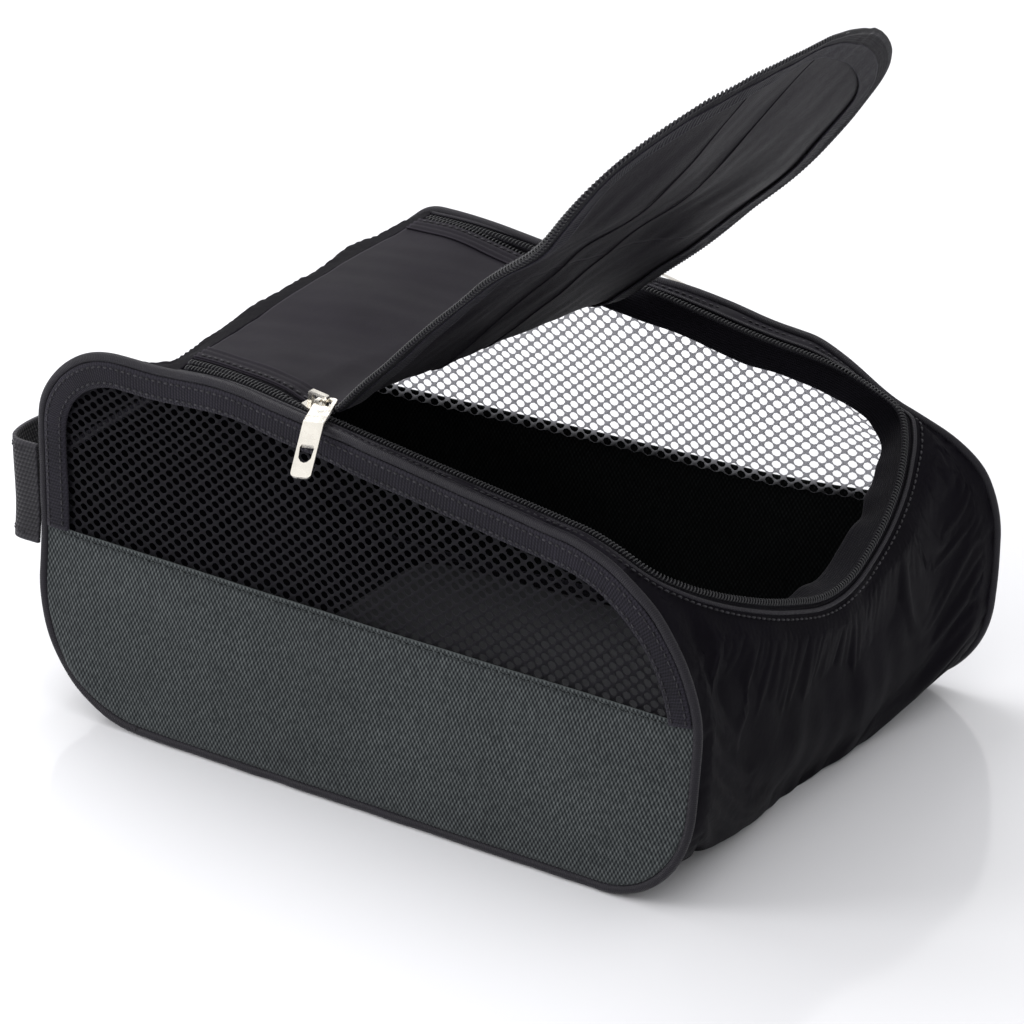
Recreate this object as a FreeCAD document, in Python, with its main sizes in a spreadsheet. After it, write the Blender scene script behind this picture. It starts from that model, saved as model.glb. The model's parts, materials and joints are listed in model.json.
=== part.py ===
import FreeCAD, Part
import Sketcher
import math
import os

# Soft golf shoe bag: two flat side panels (mesh window over a woven lower
# panel) joined by a heel, base and toe gusset, with a U-shaped zip round the
# top and a fabric flap that folds up from the heel end.
# Frame: X along the bag (+X = toe end), Y across (-Y = near side), +Z up,
# origin on the ground under the middle of the base. Millimetres and degrees.

V = FreeCAD.Vector
doc = FreeCAD.newDocument("golf_shoe_bag")

# ------------------------------------------------------ driving dimensions
# "Depth" is measured inwards from the outer face of a side, and "inset"
# inwards from the side's outline.
DIMENSIONS = [
    # side panel outline
    ("heel_x", 169),              # heel end
    ("toe_x", 167),               # toe end
    ("top_z", 170),               # top
    ("crown_angle", 7.53),        # slope of the top towards the toe
    ("crown_dist", 158.7),        # distance of that sloped line from the origin
    ("heel_bottom_rad", 58),
    ("toe_bottom_rad", 42),
    ("toe_top_rad", 78),
    ("crown_rad", 250),
    ("heel_top_rad", 44),
    ("slump_angle", 39.8),        # sagged heel corner
    ("slump_dist", 194.9),
    ("slump_rad", 20),
    ("half_width", 108),          # half the width at X = 0
    ("panel_skew", 2.694),        # the bag widens towards the toe
    # side panel layers
    ("window_sill", 80),          # top seam of the woven lower panel
    ("sill_lap", 8),              # lap of the mesh behind it
    ("sill_gap", 0.4),            # window binding starts this far above it
    ("piping_wide", 4.2),
    ("piping_edge", 1.2),         # chamfer
    ("piping_depth", 0.2),
    ("piping_gap", 0.3),          # between the piping and the panels
    ("binding_wide", 10.5),
    ("binding_depth", 0.5),
    ("binding_thick", 1.0),
    ("panel_depth", 1.8),
    ("panel_thick", 1.0),
    ("mesh_depth", 3.1),
    ("mesh_thick", 0.6),
    ("seam_gap", 4.6),            # side panel stack before the gusset starts
    ("allowance_gap", 0.2),       # bound seam allowance, past the seam gap
    ("allowance_deep", 2.4),
    ("allowance_outer", 5.0),     # its outer and inner insets
    ("allowance_inner", 9.0),
    # gussets, base and zip tape
    ("fabric_thick", 1.6),
    ("gusset_inset", 1.8),        # gusset sits this far inside the outline
    ("heel_seam_x", 97),          # top end of the heel gusset
    ("heel_lap_x", 102),          # its bottom end
    ("toe_lap_x", 118),           # bottom end of the toe gusset
    ("toe_seam_x", 126),          # its top end
    ("gusset_step_z", 80),        # height dividing those ends
    ("piece_gap", 0.4),           # between neighbouring top pieces
    ("base_heel_x", 112),
    ("base_toe_x", 127),
    ("board_heel_x", 104),
    ("board_toe_x", 118),
    ("board_side", 12),           # from the outer face of each side
    ("board_lift", 0.2),
    ("board_thick", 1.5),
    ("board_corner_rad", 14),
    ("tape_gap", 0.3),            # between the fabric and the zip tape
    ("tape_thick", 0.6),
    ("cross_wide", 7),            # binding strip over the heel cross seam
    ("cross_thick", 1.0),
    ("cross_inset", 12),          # its ends, from the zip lines
    ("cross_drop", 6.5),
    # zip; the offsets are from its centre line
    ("zip_y_heel", 92),           # near zip line, half width at the heel seam
    ("zip_y_toe", 97.5),          # and at the toe corner
    ("far_zip_y_heel", 84),       # the far side leans in at the heel
    ("toe_corner_x", 115),
    ("coil_rad", 0.95),
    ("coil_off", 2.55),
    ("lid_coil_off", 6.1),
    ("fabric_edge", 5.2),
    ("lid_edge", 7.5),
    ("tape_inner", 1.5),
    ("tape_outer", 7.0),
    ("lid_tape_outer", 5.2),
    ("lid_tape_inner", 14.0),
    # flap
    ("fold_near_x", -31),         # flap fold, near and far ends
    ("fold_far_x", -3),
    ("fold_rise", 16),            # the cloth bends round a line above itself
    ("fold_open", 52.5),          # angle from shut to the resting open pose
    ("curl_x", 121),              # where the flap bends round the toe
    ("curl_rise", 30),
    ("curl_skew", -20),
    ("curl_open", 42.5),
    ("hinge_gap", 3),
    # heel handle
    ("handle_low", 68),
    ("handle_high", 118),
    ("handle_reach", 192),
    ("handle_half", 97),
    ("handle_taper", 8),          # narrower by this at the outer end
    ("handle_gap", 0.3),          # from the heel end of the outline
    ("handle_thick", 1.8),
    ("handle_rad", 20),
    # zip sliders and pulls
    ("slider_x_near", -30),
    ("slider_x_far", -8),
    ("slider_long", 12),
    ("slider_wide", 9.2),
    ("plate_thick", 1.2),
    ("bridge_high", 5.9),
    ("bridge_wide", 2.2),
    ("bridge_rad", 1.2),
    ("pull_wide", 8.6),
    ("pull_thick", 1.2),
    ("pull_neck", 17.5),
    ("pull_drop", 25),            # length of the bent tail
    ("pull_bend", 33),
    ("pull_end_rad", 1.9),
    ("pull_hang_near", 5),        # angle below level
    ("pull_hang_far", 0),
    ("pull_yaw", 18.4),
]
dims = doc.addObject("Spreadsheet::Sheet", "Dims")
for row, (alias, value) in enumerate(DIMENSIONS, 1):
    dims.set("A%d" % row, alias)
    dims.set("B%d" % row, str(value))
    dims.setAlias("B%d" % row, alias)
doc.recompute()

# Limits of the cutting tools, clear of the bag on every side
REACH = 200         # along X, and the top
BELOW = -20
ABOVE = 220
ACROSS = 130        # along Y
UPPER_LOW = 60      # bottom of the tools that only meet the top of the bag

pieces = []         # finished document objects, one per physical piece


def finish(piece):
    piece.Label = piece.Name
    pieces.append(piece)


def dim(alias):
    return float(getattr(dims, alias))


def value_of(size):
    """Number behind a sheet expression, or the number itself."""
    if not isinstance(size, str):
        return float(size)
    result = dims.evalExpression(size)
    return float(getattr(result, "Value", result))


def unit(vector):
    vector = V(vector)
    vector.normalize()
    return vector


# ---------------------------------------------------------------- sketches
ORIGIN = (-1, 1)    # the sketch origin, as geometry and point numbers
START, END = 1, 2   # point numbers of a line's or arc's ends


def drive(sketch, constraint, expression):
    """Add a constraint whose value follows a sheet expression."""
    number = sketch.addConstraint(constraint)
    sketch.setExpression("Constraints[%d]" % number, expression)


def add_line(sketch, start, end):
    segment = Part.LineSegment(V(start[0], start[1], 0), V(end[0], end[1], 0))
    return sketch.addGeometry(segment, False)


def outline_sides(slumped):
    """Straight sides, counter-clockwise from the bottom.

    Columns: outward normal, distance alias, kind, radius alias of the corner
    that follows.
    """
    crown = math.radians(dim("crown_angle"))
    slump = math.radians(dim("slump_angle"))
    rows = [((0.0, -1.0), None, "bottom", "toe_bottom_rad"),
            ((1.0, 0.0), "toe_x", "right", "toe_top_rad"),
            ((math.sin(crown), math.cos(crown)), "crown_dist", "sloped", "crown_rad")]
    if slumped:
        rows += [((0.0, 1.0), "top_z", "top", "slump_rad"),
                 ((-math.sin(slump), math.cos(slump)), "slump_dist", "sloped", "slump_rad")]
    else:
        rows.append(((0.0, 1.0), "top_z", "top", "heel_top_rad"))
    rows.append(((-1.0, 0.0), "heel_x", "left", "heel_bottom_rad"))
    return rows


def cross_point(normal1, dist1, normal2, dist2):
    """Where two lines, given by normal and distance from the origin, meet."""
    det = normal1[0] * normal2[1] - normal1[1] * normal2[0]
    return ((dist1 * normal2[1] - dist2 * normal1[1]) / det,
            (normal1[0] * dist2 - normal2[0] * dist1) / det)


def outline_geometry(inset, slumped):
    """Lines (start, end) and arcs (centre, radius, from, to) of the outline.

    Arc i joins line i to the next one.
    """
    rows = outline_sides(slumped)
    dists = [(dim(row[1]) if row[1] else 0.0) - inset for row in rows]
    arcs = []
    for i, (normal, _, _, corner) in enumerate(rows):
        j = (i + 1) % len(rows)
        following = rows[j][0]
        radius = dim(corner) - inset
        centre = cross_point(normal, dists[i] - radius, following, dists[j] - radius)
        angle0 = math.atan2(normal[1], normal[0])
        angle1 = math.atan2(following[1], following[0])
        while angle1 <= angle0:
            angle1 += 2 * math.pi
        arcs.append((centre, radius, angle0, angle1))
    lines = []
    for i, (normal, _, _, _) in enumerate(rows):
        lines.append([(centre[0] + radius * normal[0], centre[1] + radius * normal[1])
                      for centre, radius, _, _ in (arcs[i - 1], arcs[i])])
    return lines, arcs


def add_outline(sketch, inset_expr, slumped=False):
    """Draw and constrain the side panel outline, moved in by an inset."""
    inset = value_of(inset_expr)
    rows = outline_sides(slumped)
    lines, arcs = outline_geometry(inset, slumped)
    line_ids = [add_line(sketch, start, end) for start, end in lines]
    arc_ids = []
    for centre, radius, angle0, angle1 in arcs:
        circle = Part.Circle(V(centre[0], centre[1], 0), V(0, 0, 1), radius)
        arc_ids.append(sketch.addGeometry(Part.ArcOfCircle(circle, angle0, angle1), False))
    for i, row in enumerate(rows):
        following = line_ids[(i + 1) % len(rows)]
        sketch.addConstraint(Sketcher.Constraint("Tangent", line_ids[i], END, arc_ids[i], START))
        sketch.addConstraint(Sketcher.Constraint("Tangent", arc_ids[i], END, following, START))
        drive(sketch, Sketcher.Constraint("Radius", arc_ids[i], arcs[i][1]),
              "Dims.%s - (%s)" % (row[3], inset_expr))
    for line, (normal, alias, kind, _) in zip(line_ids, rows):
        if kind == "bottom":
            sketch.addConstraint(Sketcher.Constraint("Horizontal", line))
            if inset > 0:
                drive(sketch, Sketcher.Constraint("DistanceY", *ORIGIN, line, START, inset),
                      inset_expr)
            else:
                sketch.addConstraint(Sketcher.Constraint("PointOnObject", line, START, -1))
            continue
        dist = dim(alias) - inset
        if kind == "right":
            sketch.addConstraint(Sketcher.Constraint("Vertical", line))
            place = Sketcher.Constraint("DistanceX", *ORIGIN, line, START, dist)
        elif kind == "left":
            sketch.addConstraint(Sketcher.Constraint("Vertical", line))
            place = Sketcher.Constraint("DistanceX", line, START, *ORIGIN, dist)
        elif kind == "top":
            sketch.addConstraint(Sketcher.Constraint("Horizontal", line))
            place = Sketcher.Constraint("DistanceY", *ORIGIN, line, START, dist)
        else:
            direction = math.atan2(normal[1], normal[0]) + math.pi / 2
            sketch.addConstraint(Sketcher.Constraint("Angle", line, direction))
            place = Sketcher.Constraint("Distance", *ORIGIN, line, dist)
        drive(sketch, place, "Dims.%s - (%s)" % (alias, inset_expr))


def add_polygon(sketch, points):
    """Closed polygon; each coordinate is a number or a sheet expression."""
    numbers = [(value_of(x), value_of(y)) for x, y in points]
    count = len(points)
    ids = [add_line(sketch, numbers[i], numbers[(i + 1) % count]) for i in range(count)]
    for i in range(count):
        sketch.addConstraint(
            Sketcher.Constraint("Coincident", ids[i], END, ids[(i + 1) % count], START))
    for i in range(count):
        for axis, kind in enumerate(("DistanceX", "DistanceY")):
            place = Sketcher.Constraint(kind, *ORIGIN, ids[i], START, numbers[i][axis])
            if isinstance(points[i][axis], str):
                drive(sketch, place, points[i][axis])
            else:
                sketch.addConstraint(place)


# ---------------------------------------------------------- body features
def body_sketch(body, name, role, depth=None):
    """Sketch on an origin plane, moved along its normal by an expression."""
    plane = [f for f in body.Origin.OriginFeatures if f.Role == role][0]
    sketch = body.newObject("Sketcher::SketchObject", name)
    sketch.AttachmentSupport = [(plane, "")]
    sketch.MapMode = "FlatFace"
    if depth:
        sketch.setExpression("AttachmentOffset.Base.z", depth)
    return sketch


def pad(body, sketch, length, symmetric=False):
    feature = body.newObject("PartDesign::Pad", sketch.Name + "_pad")
    feature.Profile = sketch
    feature.Length = value_of(length)
    feature.setExpression("Length", length)
    feature.Midplane = symmetric
    sketch.Visibility = False
    doc.recompute()


def pad_polygon(body, name, role, points, length, depth=None, symmetric=False):
    sketch = body_sketch(body, name, role, depth)
    add_polygon(sketch, points)
    doc.recompute()
    pad(body, sketch, length, symmetric)


def pocket_polygon(body, name, role, points):
    """Cut a polygon right through the body, both ways from its plane."""
    sketch = body_sketch(body, name, role)
    add_polygon(sketch, points)
    doc.recompute()
    before = body.Shape.Volume
    feature = body.newObject("PartDesign::Pocket", name + "_cut")
    feature.Profile = sketch
    feature.Midplane = True
    feature.Length = 400
    doc.recompute()
    if not body.Shape.Volume < before - 1e-6:
        raise RuntimeError("cut %s removed nothing" % feature.Name)


def dress_edges(body, kind, name, wanted, size):
    """Fillet or chamfer the tip's edges for which wanted(edge, box) holds."""
    base = body.Tip
    edges = ["Edge%d" % i for i, edge in enumerate(base.Shape.Edges, 1)
             if wanted(edge, edge.BoundBox)]
    feature = body.newObject("PartDesign::" + kind, name)
    feature.Base = (base, edges)
    prop = "Size" if kind == "Chamfer" else "Radius"
    setattr(feature, prop, value_of(size))
    feature.setExpression(prop, size)
    doc.recompute()


# ------------------------------------------------------------- side panels
def side_ring(side, part, depths, insets, slumped, chamfer=None):
    """Plate inside the outline, or a band between two insets of it."""
    name = "%s_%s" % (side, part)
    body = doc.addObject("PartDesign::Body", name)
    near = side == "near"
    shallow, deep = depths
    # The sketch plane's normal is -Y, inwards on the far side only.
    sketch = body_sketch(body, name + "_sk", "XZ_Plane", "-(%s)" % deep if near else shallow)
    for inset in insets:
        add_outline(sketch, inset, slumped)
    doc.recompute()
    pad(body, sketch, "(%s) - (%s)" % (deep, shallow))
    if chamfer:
        box = body.Tip.Shape.BoundBox

        def on_a_face(edge, bb):
            return bb.YLength < 1e-6 and (abs(bb.YMin - box.YMin) < 1e-4
                                          or abs(bb.YMin - box.YMax) < 1e-4)

        dress_edges(body, "Chamfer", name + "_edge", on_a_face, chamfer)
    sign = -1 if near else 1
    body.Placement = FreeCAD.Placement(
        V(0, sign * dim("half_width"), 0),
        FreeCAD.Rotation(V(0, 0, 1), sign * dim("panel_skew")))
    body.setExpression("Placement.Base.y", "-Dims.half_width" if near else "Dims.half_width")
    return body


def trim_side(body, from_z, to_z):
    """Remove everything between two heights."""
    pocket_polygon(body, body.Name + "_trim", "XZ_Plane",
                   [(-REACH, from_z), (REACH, from_z), (REACH, to_z), (-REACH, to_z)])


INSIDE = "Dims.piping_wide + Dims.piping_gap"
PAST_SEAM = "Dims.seam_gap + Dims.allowance_gap"


def lower_panel(side, slumped):
    """Woven lower panel, up to the sill."""
    depths = ("Dims.panel_depth", "Dims.panel_depth + Dims.panel_thick")
    body = side_ring(side, "lower_panel", depths, [INSIDE], slumped)
    trim_side(body, "Dims.window_sill", REACH)
    finish(body)


def mesh_window(side, slumped):
    """Mesh window, lapped behind the lower panel."""
    depths = ("Dims.mesh_depth", "Dims.mesh_depth + Dims.mesh_thick")
    body = side_ring(side, "mesh_window", depths, [INSIDE], slumped)
    trim_side(body, "Dims.window_sill - Dims.sill_lap", BELOW)
    finish(body)


def window_binding(side, slumped):
    """Stitched binding band round the window."""
    depths = ("Dims.binding_depth", "Dims.binding_depth + Dims.binding_thick")
    body = side_ring(side, "window_binding", depths,
                     [INSIDE, INSIDE + " + Dims.binding_wide"], slumped)
    trim_side(body, "Dims.window_sill + Dims.sill_gap", BELOW)
    finish(body)


def piping(side, slumped):
    """Corded piping round the whole side."""
    depths = ("Dims.piping_depth", "Dims.piping_depth + Dims.piping_wide")
    finish(side_ring(side, "piping", depths, ["0", "Dims.piping_wide"], slumped,
                     chamfer="Dims.piping_edge"))


def seam_binding(side):
    """Bound seam allowance inside the bag, sagged on both sides."""
    finish(side_ring(side, "seam_binding", (PAST_SEAM, PAST_SEAM + " + Dims.allowance_deep"),
                     ["Dims.allowance_outer", "Dims.allowance_inner"], True))


for side in ("near", "far"):
    # The far side's heel corner sags with the gusset; the near one stands up.
    slumped = side == "far"
    lower_panel(side, slumped)
    mesh_window(side, slumped)
    window_binding(side, slumped)
    piping(side, slumped)
    seam_binding(side)


# --------------------------------------------- tools for the wrapped cloth
XZ = FreeCAD.Placement(V(0, 0, 0), FreeCAD.Rotation(V(1, 0, 0), 90))     # normal along -Y


def extrude(name, sketch, low, high):
    """Solid between two distances along the sketch's normal."""
    doc.recompute()
    solid = doc.addObject("Part::Extrusion", name)
    solid.Base = sketch
    solid.DirMode = "Normal"
    solid.LengthFwd = high
    solid.LengthRev = -low
    solid.Solid = True
    doc.recompute()
    return solid


def ring_solid(name, insets, slumped):
    """Closed band following the outline, extruded right across the bag."""
    sketch = doc.addObject("Sketcher::SketchObject", name + "_sk")
    sketch.Placement = XZ
    for inset in insets:
        add_outline(sketch, inset, slumped)
    return extrude(name, sketch, -ACROSS, ACROSS)


def prism(name, points, plane, low, high):
    """Prism from a polygon in the XY plane (upright) or XZ plane (sideways)."""
    sketch = doc.addObject("Sketcher::SketchObject", name + "_sk")
    if plane == "XZ":
        sketch.Placement = XZ
    add_polygon(sketch, points)
    return extrude(name, sketch, low, high)


def common(name, *shapes):
    result = doc.addObject("Part::MultiCommon", name)
    result.Shapes = list(shapes)
    doc.recompute()
    return result


def cut(name, base, tool):
    result = doc.addObject("Part::Cut", name)
    result.Base = base
    result.Tool = tool
    doc.recompute()
    return result


def add_shape(name, shape):
    feature = doc.addObject("Part::Feature", name)
    feature.Shape = shape
    return feature


def plan_between(heel, toe, gap):
    """Trapezium in plan between the side panels, a gap inside each of them."""
    slope = "tan(Dims.panel_skew * 1 deg)"
    at_heel = "(Dims.half_width - %s * %s - (%s))" % (heel, slope, gap)
    at_toe = "(Dims.half_width + %s * %s - (%s))" % (toe, slope, gap)
    return [("-%s" % heel, "-" + at_heel), (toe, "-" + at_toe),
            (toe, at_toe), ("-%s" % heel, at_heel)]


CLOTH_IN = "Dims.gusset_inset + Dims.fabric_thick"      # inner face of the cloth
CLOTH = ["Dims.gusset_inset", CLOTH_IN]
TAPE = [CLOTH_IN + " + Dims.tape_gap", CLOTH_IN + " + Dims.tape_gap + Dims.tape_thick"]

inner_plan = prism("inner_plan", plan_between(REACH, REACH, "Dims.seam_gap"), "XY", BELOW, ABOVE)
ring_cloth = ring_solid("ring_cloth", CLOTH, False)
ring_tape = ring_solid("ring_tape", TAPE, False)


# ---------------------------------------------------- heel gusset and base
def heel_gusset():
    """Sagged heel gusset, from the base seam up to the cross seam on top."""
    ring = ring_solid("ring_heel", CLOTH, True)
    keep = prism("heel_keep",
                 [(-REACH, BELOW), ("-Dims.heel_lap_x", BELOW),
                  ("-Dims.heel_lap_x", "Dims.gusset_step_z"),
                  ("-Dims.heel_seam_x", "Dims.gusset_step_z"),
                  ("-Dims.heel_seam_x", REACH), (-REACH, REACH)],
                 "XZ", -ACROSS, ACROSS)
    finish(common("heel_gusset", ring, keep, inner_plan))


def base_panel():
    """Flat base panel, lapped under both gussets."""
    body = doc.addObject("PartDesign::Body", "base_panel")
    pad_polygon(body, "base_sk", "XY_Plane",
                plan_between("Dims.base_heel_x", "Dims.base_toe_x", "Dims.seam_gap"),
                "Dims.fabric_thick")
    finish(body)


def base_board():
    """Stiffening sheet lying on the base inside the bag."""
    body = doc.addObject("PartDesign::Body", "base_board")
    pad_polygon(body, "board_sk", "XY_Plane",
                plan_between("Dims.board_heel_x", "Dims.board_toe_x", "Dims.board_side"),
                "Dims.board_thick", depth=CLOTH_IN + " + Dims.board_lift")
    dress_edges(body, "Fillet", "board_corners",
                lambda edge, bb: bb.ZLength > 0.5 and bb.XLength < 1e-6,
                "Dims.board_corner_rad")
    finish(body)


heel_gusset()
base_panel()
base_board()

# --------------------------------------------------------------- zip line
CLOTH_MID = dim("gusset_inset") + dim("fabric_thick") / 2.0     # inset of mid cloth
MID_LINES, MID_ARCS = outline_geometry(CLOTH_MID, False)
CROWN = math.radians(dim("crown_angle"))
CROWN_NORMAL = V(math.sin(CROWN), 0, math.cos(CROWN))
HEEL_SEAM = -dim("heel_seam_x")
TOE_CORNER = dim("toe_corner_x")

# The zip's near half across the toe: half width, height. The last point is
# on the bag's centre line.
TOE_ZIP = [
    (96.9, 135.6), (94.2, 131.2), (89.0, 127.0), (80.0, 121.4), (65.0, 114.0),
    (45.0, 105.8), (26.0, 99.6), (13.0, 96.2), (0.0, 95.0),
]


def upper_profile():
    """Mid-cloth outline points (x, z), up the toe and over to the heel."""
    points = []
    for i in (1, 2, 3):     # toe side, crown and top, each with its corner
        points += MID_LINES[i]
        centre, radius, angle0, angle1 = MID_ARCS[i]
        for k in range(1, 60):
            angle = angle0 + (angle1 - angle0) * k / 60.0
            points.append((centre[0] + radius * math.cos(angle),
                           centre[1] + radius * math.sin(angle)))
    return points


PROFILE = upper_profile()


def on_profile(value, given):
    """Greatest other coordinate where x (given=0) or z (given=1) is value."""
    found = 1 - given
    best = None
    for p, q in zip(PROFILE[:-1], PROFILE[1:]):
        low, high = min(p[given], q[given]), max(p[given], q[given])
        if low - 1e-9 <= value <= high + 1e-9 and high - low > 1e-9:
            share = (q[found] - p[found]) * (value - p[given]) / (q[given] - p[given])
            result = p[found] + share
            best = result if best is None else max(best, result)
    return best


def z_at(x):
    return on_profile(x, 0)


def x_at(z):
    return on_profile(z, 1)


def zip_y(x, side):
    heel = dim("zip_y_heel") if side == "near" else dim("far_zip_y_heel")
    y = heel + (dim("zip_y_toe") - heel) * (x - HEEL_SEAM) / (TOE_CORNER - HEEL_SEAM)
    return -y if side == "near" else y


def zip_points():
    """Centre line of the zip: near heel end, round the toe, far heel end."""
    xs = [HEEL_SEAM + (TOE_CORNER - HEEL_SEAM) * k / 26.0 for k in range(27)]
    points = [V(x, zip_y(x, "near"), z_at(x)) for x in xs]
    points += [V(x_at(z), -y, z) for y, z in TOE_ZIP]
    points += [V(x_at(z), y, z) for y, z in reversed(TOE_ZIP[:-1])]
    points += [V(x, zip_y(x, "far"), z_at(x)) for x in reversed(xs)]
    return points


def evenly_spaced(points, step):
    """The smooth curve through the points, sampled at even steps."""
    curve = Part.BSplineCurve()
    curve.interpolate(points)
    count = int(curve.length() / step)
    return curve.toShape().discretize(Number=count + 1)


ZIP_LINE = evenly_spaced(zip_points(), 10.0)


def surface_normal(p):
    """Outward normal of the cloth at a point of the zip."""
    toe_centre, toe_radius, _, toe_end = MID_ARCS[1]
    if p.x > toe_centre[0] + toe_radius * math.cos(toe_end):
        if p.z < toe_centre[1]:
            return V(1, 0, 0)
        return unit(V(p.x - toe_centre[0], 0, p.z - toe_centre[1]))
    centre, radius, start, _ = MID_ARCS[2]
    if p.x < centre[0] + radius * math.cos(start):
        return unit(V(max(p.x - centre[0], 0), 0, p.z - centre[1]))
    return CROWN_NORMAL


def run_directions(points, i):
    """Directions along a run and sideways out of the U, at point i."""
    along = unit(points[min(i + 1, len(points) - 1)] - points[max(i - 1, 0)])
    return along, unit(along.cross(surface_normal(points[i])))


def shifted(points, offset):
    """Run moved sideways on the cloth; positive is out of the U."""
    return [p + run_directions(points, i)[1] * offset for i, p in enumerate(points)]


def thinned(points, tolerance):
    """The run without the points that lie on a straight line between others."""
    keep = [points[0]]
    for p, after in zip(points[1:-1], points[2:]):
        chord = after - keep[-1]
        if (p - keep[-1]).cross(chord).Length / chord.Length > tolerance:
            keep.append(p)
    keep.append(points[-1])
    return keep


def tube(points):
    """Ten-sided zip coil lofted through sections along a run of points."""
    radius = dim("coil_rad")
    points = thinned(points, 0.02)
    rings = []
    for i, p in enumerate(points):
        along, sideways = run_directions(points, i)
        up = sideways.cross(along)
        ring = [p + sideways * (radius * math.cos(math.pi * k / 5))
                + up * (radius * math.sin(math.pi * k / 5)) for k in range(10)]
        rings.append(Part.makePolygon(ring + [ring[0]]))
    return Part.makeLoft(rings, True, True)


def bag_coil():
    """Coil on the bag side of the zip."""
    run = shifted(ZIP_LINE, dim("coil_off"))
    for end in (0, -1):
        run[end] = run[end] + V(0.8, 0, 0)      # stop clear of the heel gusset
    finish(add_shape("zip_coil_bag", tube(run)))


bag_coil()

# -------------------------------------------------- cloth cut along the zip
# The zip's U is drawn in a plane square to the direction (1, 0, 1), from
# which the crown and the toe curve are both seen open.
DIAGONAL = unit(V(1, 0, 1))
PLANE_U = unit(V(1, 0, -1))
U_HEEL_X = -115.0       # heel end of the U-shaped tools


def u_prism(name, offset, other=None, heel=U_HEEL_X):
    """Prism inside the U moved by one offset, or between two of them.

    Flat points hold the distance along PLANE_U as x, and y.
    """
    def flat(off):
        return thinned([V(p.dot(PLANE_U), p.y, 0) for p in shifted(ZIP_LINE, off)], 0.03)

    run = flat(offset)
    u_heel = V(heel, 0, dim("top_z")).dot(PLANE_U)
    ring = [V(u_heel, run[0].y, 0)] + run + [V(u_heel, run[-1].y, 0)]
    if other is not None:
        back = flat(other)
        ring += [V(u_heel, back[-1].y, 0)] + list(reversed(back)) + [V(u_heel, back[0].y, 0)]
    points = [PLANE_U * p.x + V(0, p.y, 0) + DIAGONAL * 20.0 for p in ring]
    face = Part.Face(Part.makePolygon(points + [points[0]]))
    return add_shape(name, face.extrude(DIAGONAL * 320.0))


opening = u_prism("opening_prism", dim("fabric_edge"))


def toe_gusset():
    """Toe gusset, from the base seam round the toe up to the zip."""
    keep = prism("toe_keep",
                 [("Dims.toe_lap_x", BELOW), (REACH, BELOW), (REACH, REACH),
                  ("Dims.toe_seam_x", REACH), ("Dims.toe_seam_x", "Dims.gusset_step_z"),
                  ("Dims.toe_lap_x", "Dims.gusset_step_z")],
                 "XZ", -ACROSS, ACROSS)
    finish(cut("toe_gusset", common("toe_blank", ring_cloth, keep, inner_plan), opening))


def top_strip(side):
    """Strip of cloth between the zip and a side panel."""
    heel = "-Dims.heel_seam_x + Dims.piece_gap"
    toe = "Dims.toe_seam_x - Dims.piece_gap"
    low, high = (2, ACROSS) if side == "near" else (-ACROSS, -2)
    keep = prism(side + "_strip_keep",
                 [(heel, UPPER_LOW), (toe, UPPER_LOW), (toe, REACH), (heel, REACH)],
                 "XZ", low, high)
    blank = common(side + "_strip_blank", ring_cloth, keep, inner_plan)
    finish(cut(side + "_top_strip", blank, opening))


def bag_tape():
    """Zip tape on the bag side, under the strips."""
    band = u_prism("tape_u", dim("tape_inner"), dim("tape_outer"), heel=HEEL_SEAM)
    keep = prism("tape_keep",
                 [("-Dims.heel_seam_x", UPPER_LOW), (REACH, UPPER_LOW), (REACH, REACH),
                  ("-Dims.heel_seam_x", REACH)],
                 "XZ", -ACROSS, ACROSS)
    finish(common("zip_tape_bag", ring_tape, band, keep, inner_plan))


toe_gusset()
for side in ("near", "far"):
    top_strip(side)
bag_tape()

# ------------------------------------------------------------------- flap
# Each flap piece is drawn shut, lying on the crown, and then turned open
# about the fold (and its toe end about the curl line).
AXIS_HALF = 95.0        # the fold and curl lines are set out over this, each way
FOLD_RUN = dim("fold_far_x") - dim("fold_near_x")
FOLD_MID_X = (dim("fold_near_x") + dim("fold_far_x")) / 2.0
GAP = dim("hinge_gap")


def turned(point, axis, degrees):
    """Placement that turns about an axis through a point."""
    rotation = FreeCAD.Rotation(axis, degrees)
    return FreeCAD.Placement(point - rotation.multVec(point), rotation)


fold_point = V(FOLD_MID_X, 0, z_at(FOLD_MID_X) + dim("fold_rise"))
fold_axis = unit(V(FOLD_RUN, 2 * AXIS_HALF, 0))
curl_point = V(dim("curl_x"), 0, z_at(dim("curl_x")) + dim("curl_rise"))
curl_axis = unit(V(dim("curl_skew"), 2 * AXIS_HALF, 0))
OPEN_MIDDLE = turned(fold_point, fold_axis, -dim("fold_open"))
OPEN_TOE = OPEN_MIDDLE.multiply(turned(curl_point, curl_axis, -dim("curl_open")))


def fold_x(y, offset=0):
    return FOLD_MID_X + y * FOLD_RUN / (2 * AXIS_HALF) + offset


def zone_plan(near_heel, near_toe, far_toe, far_heel):
    return [(near_heel, -ACROSS), (near_toe, -ACROSS), (far_toe, ACROSS), (far_heel, ACROSS)]


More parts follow.
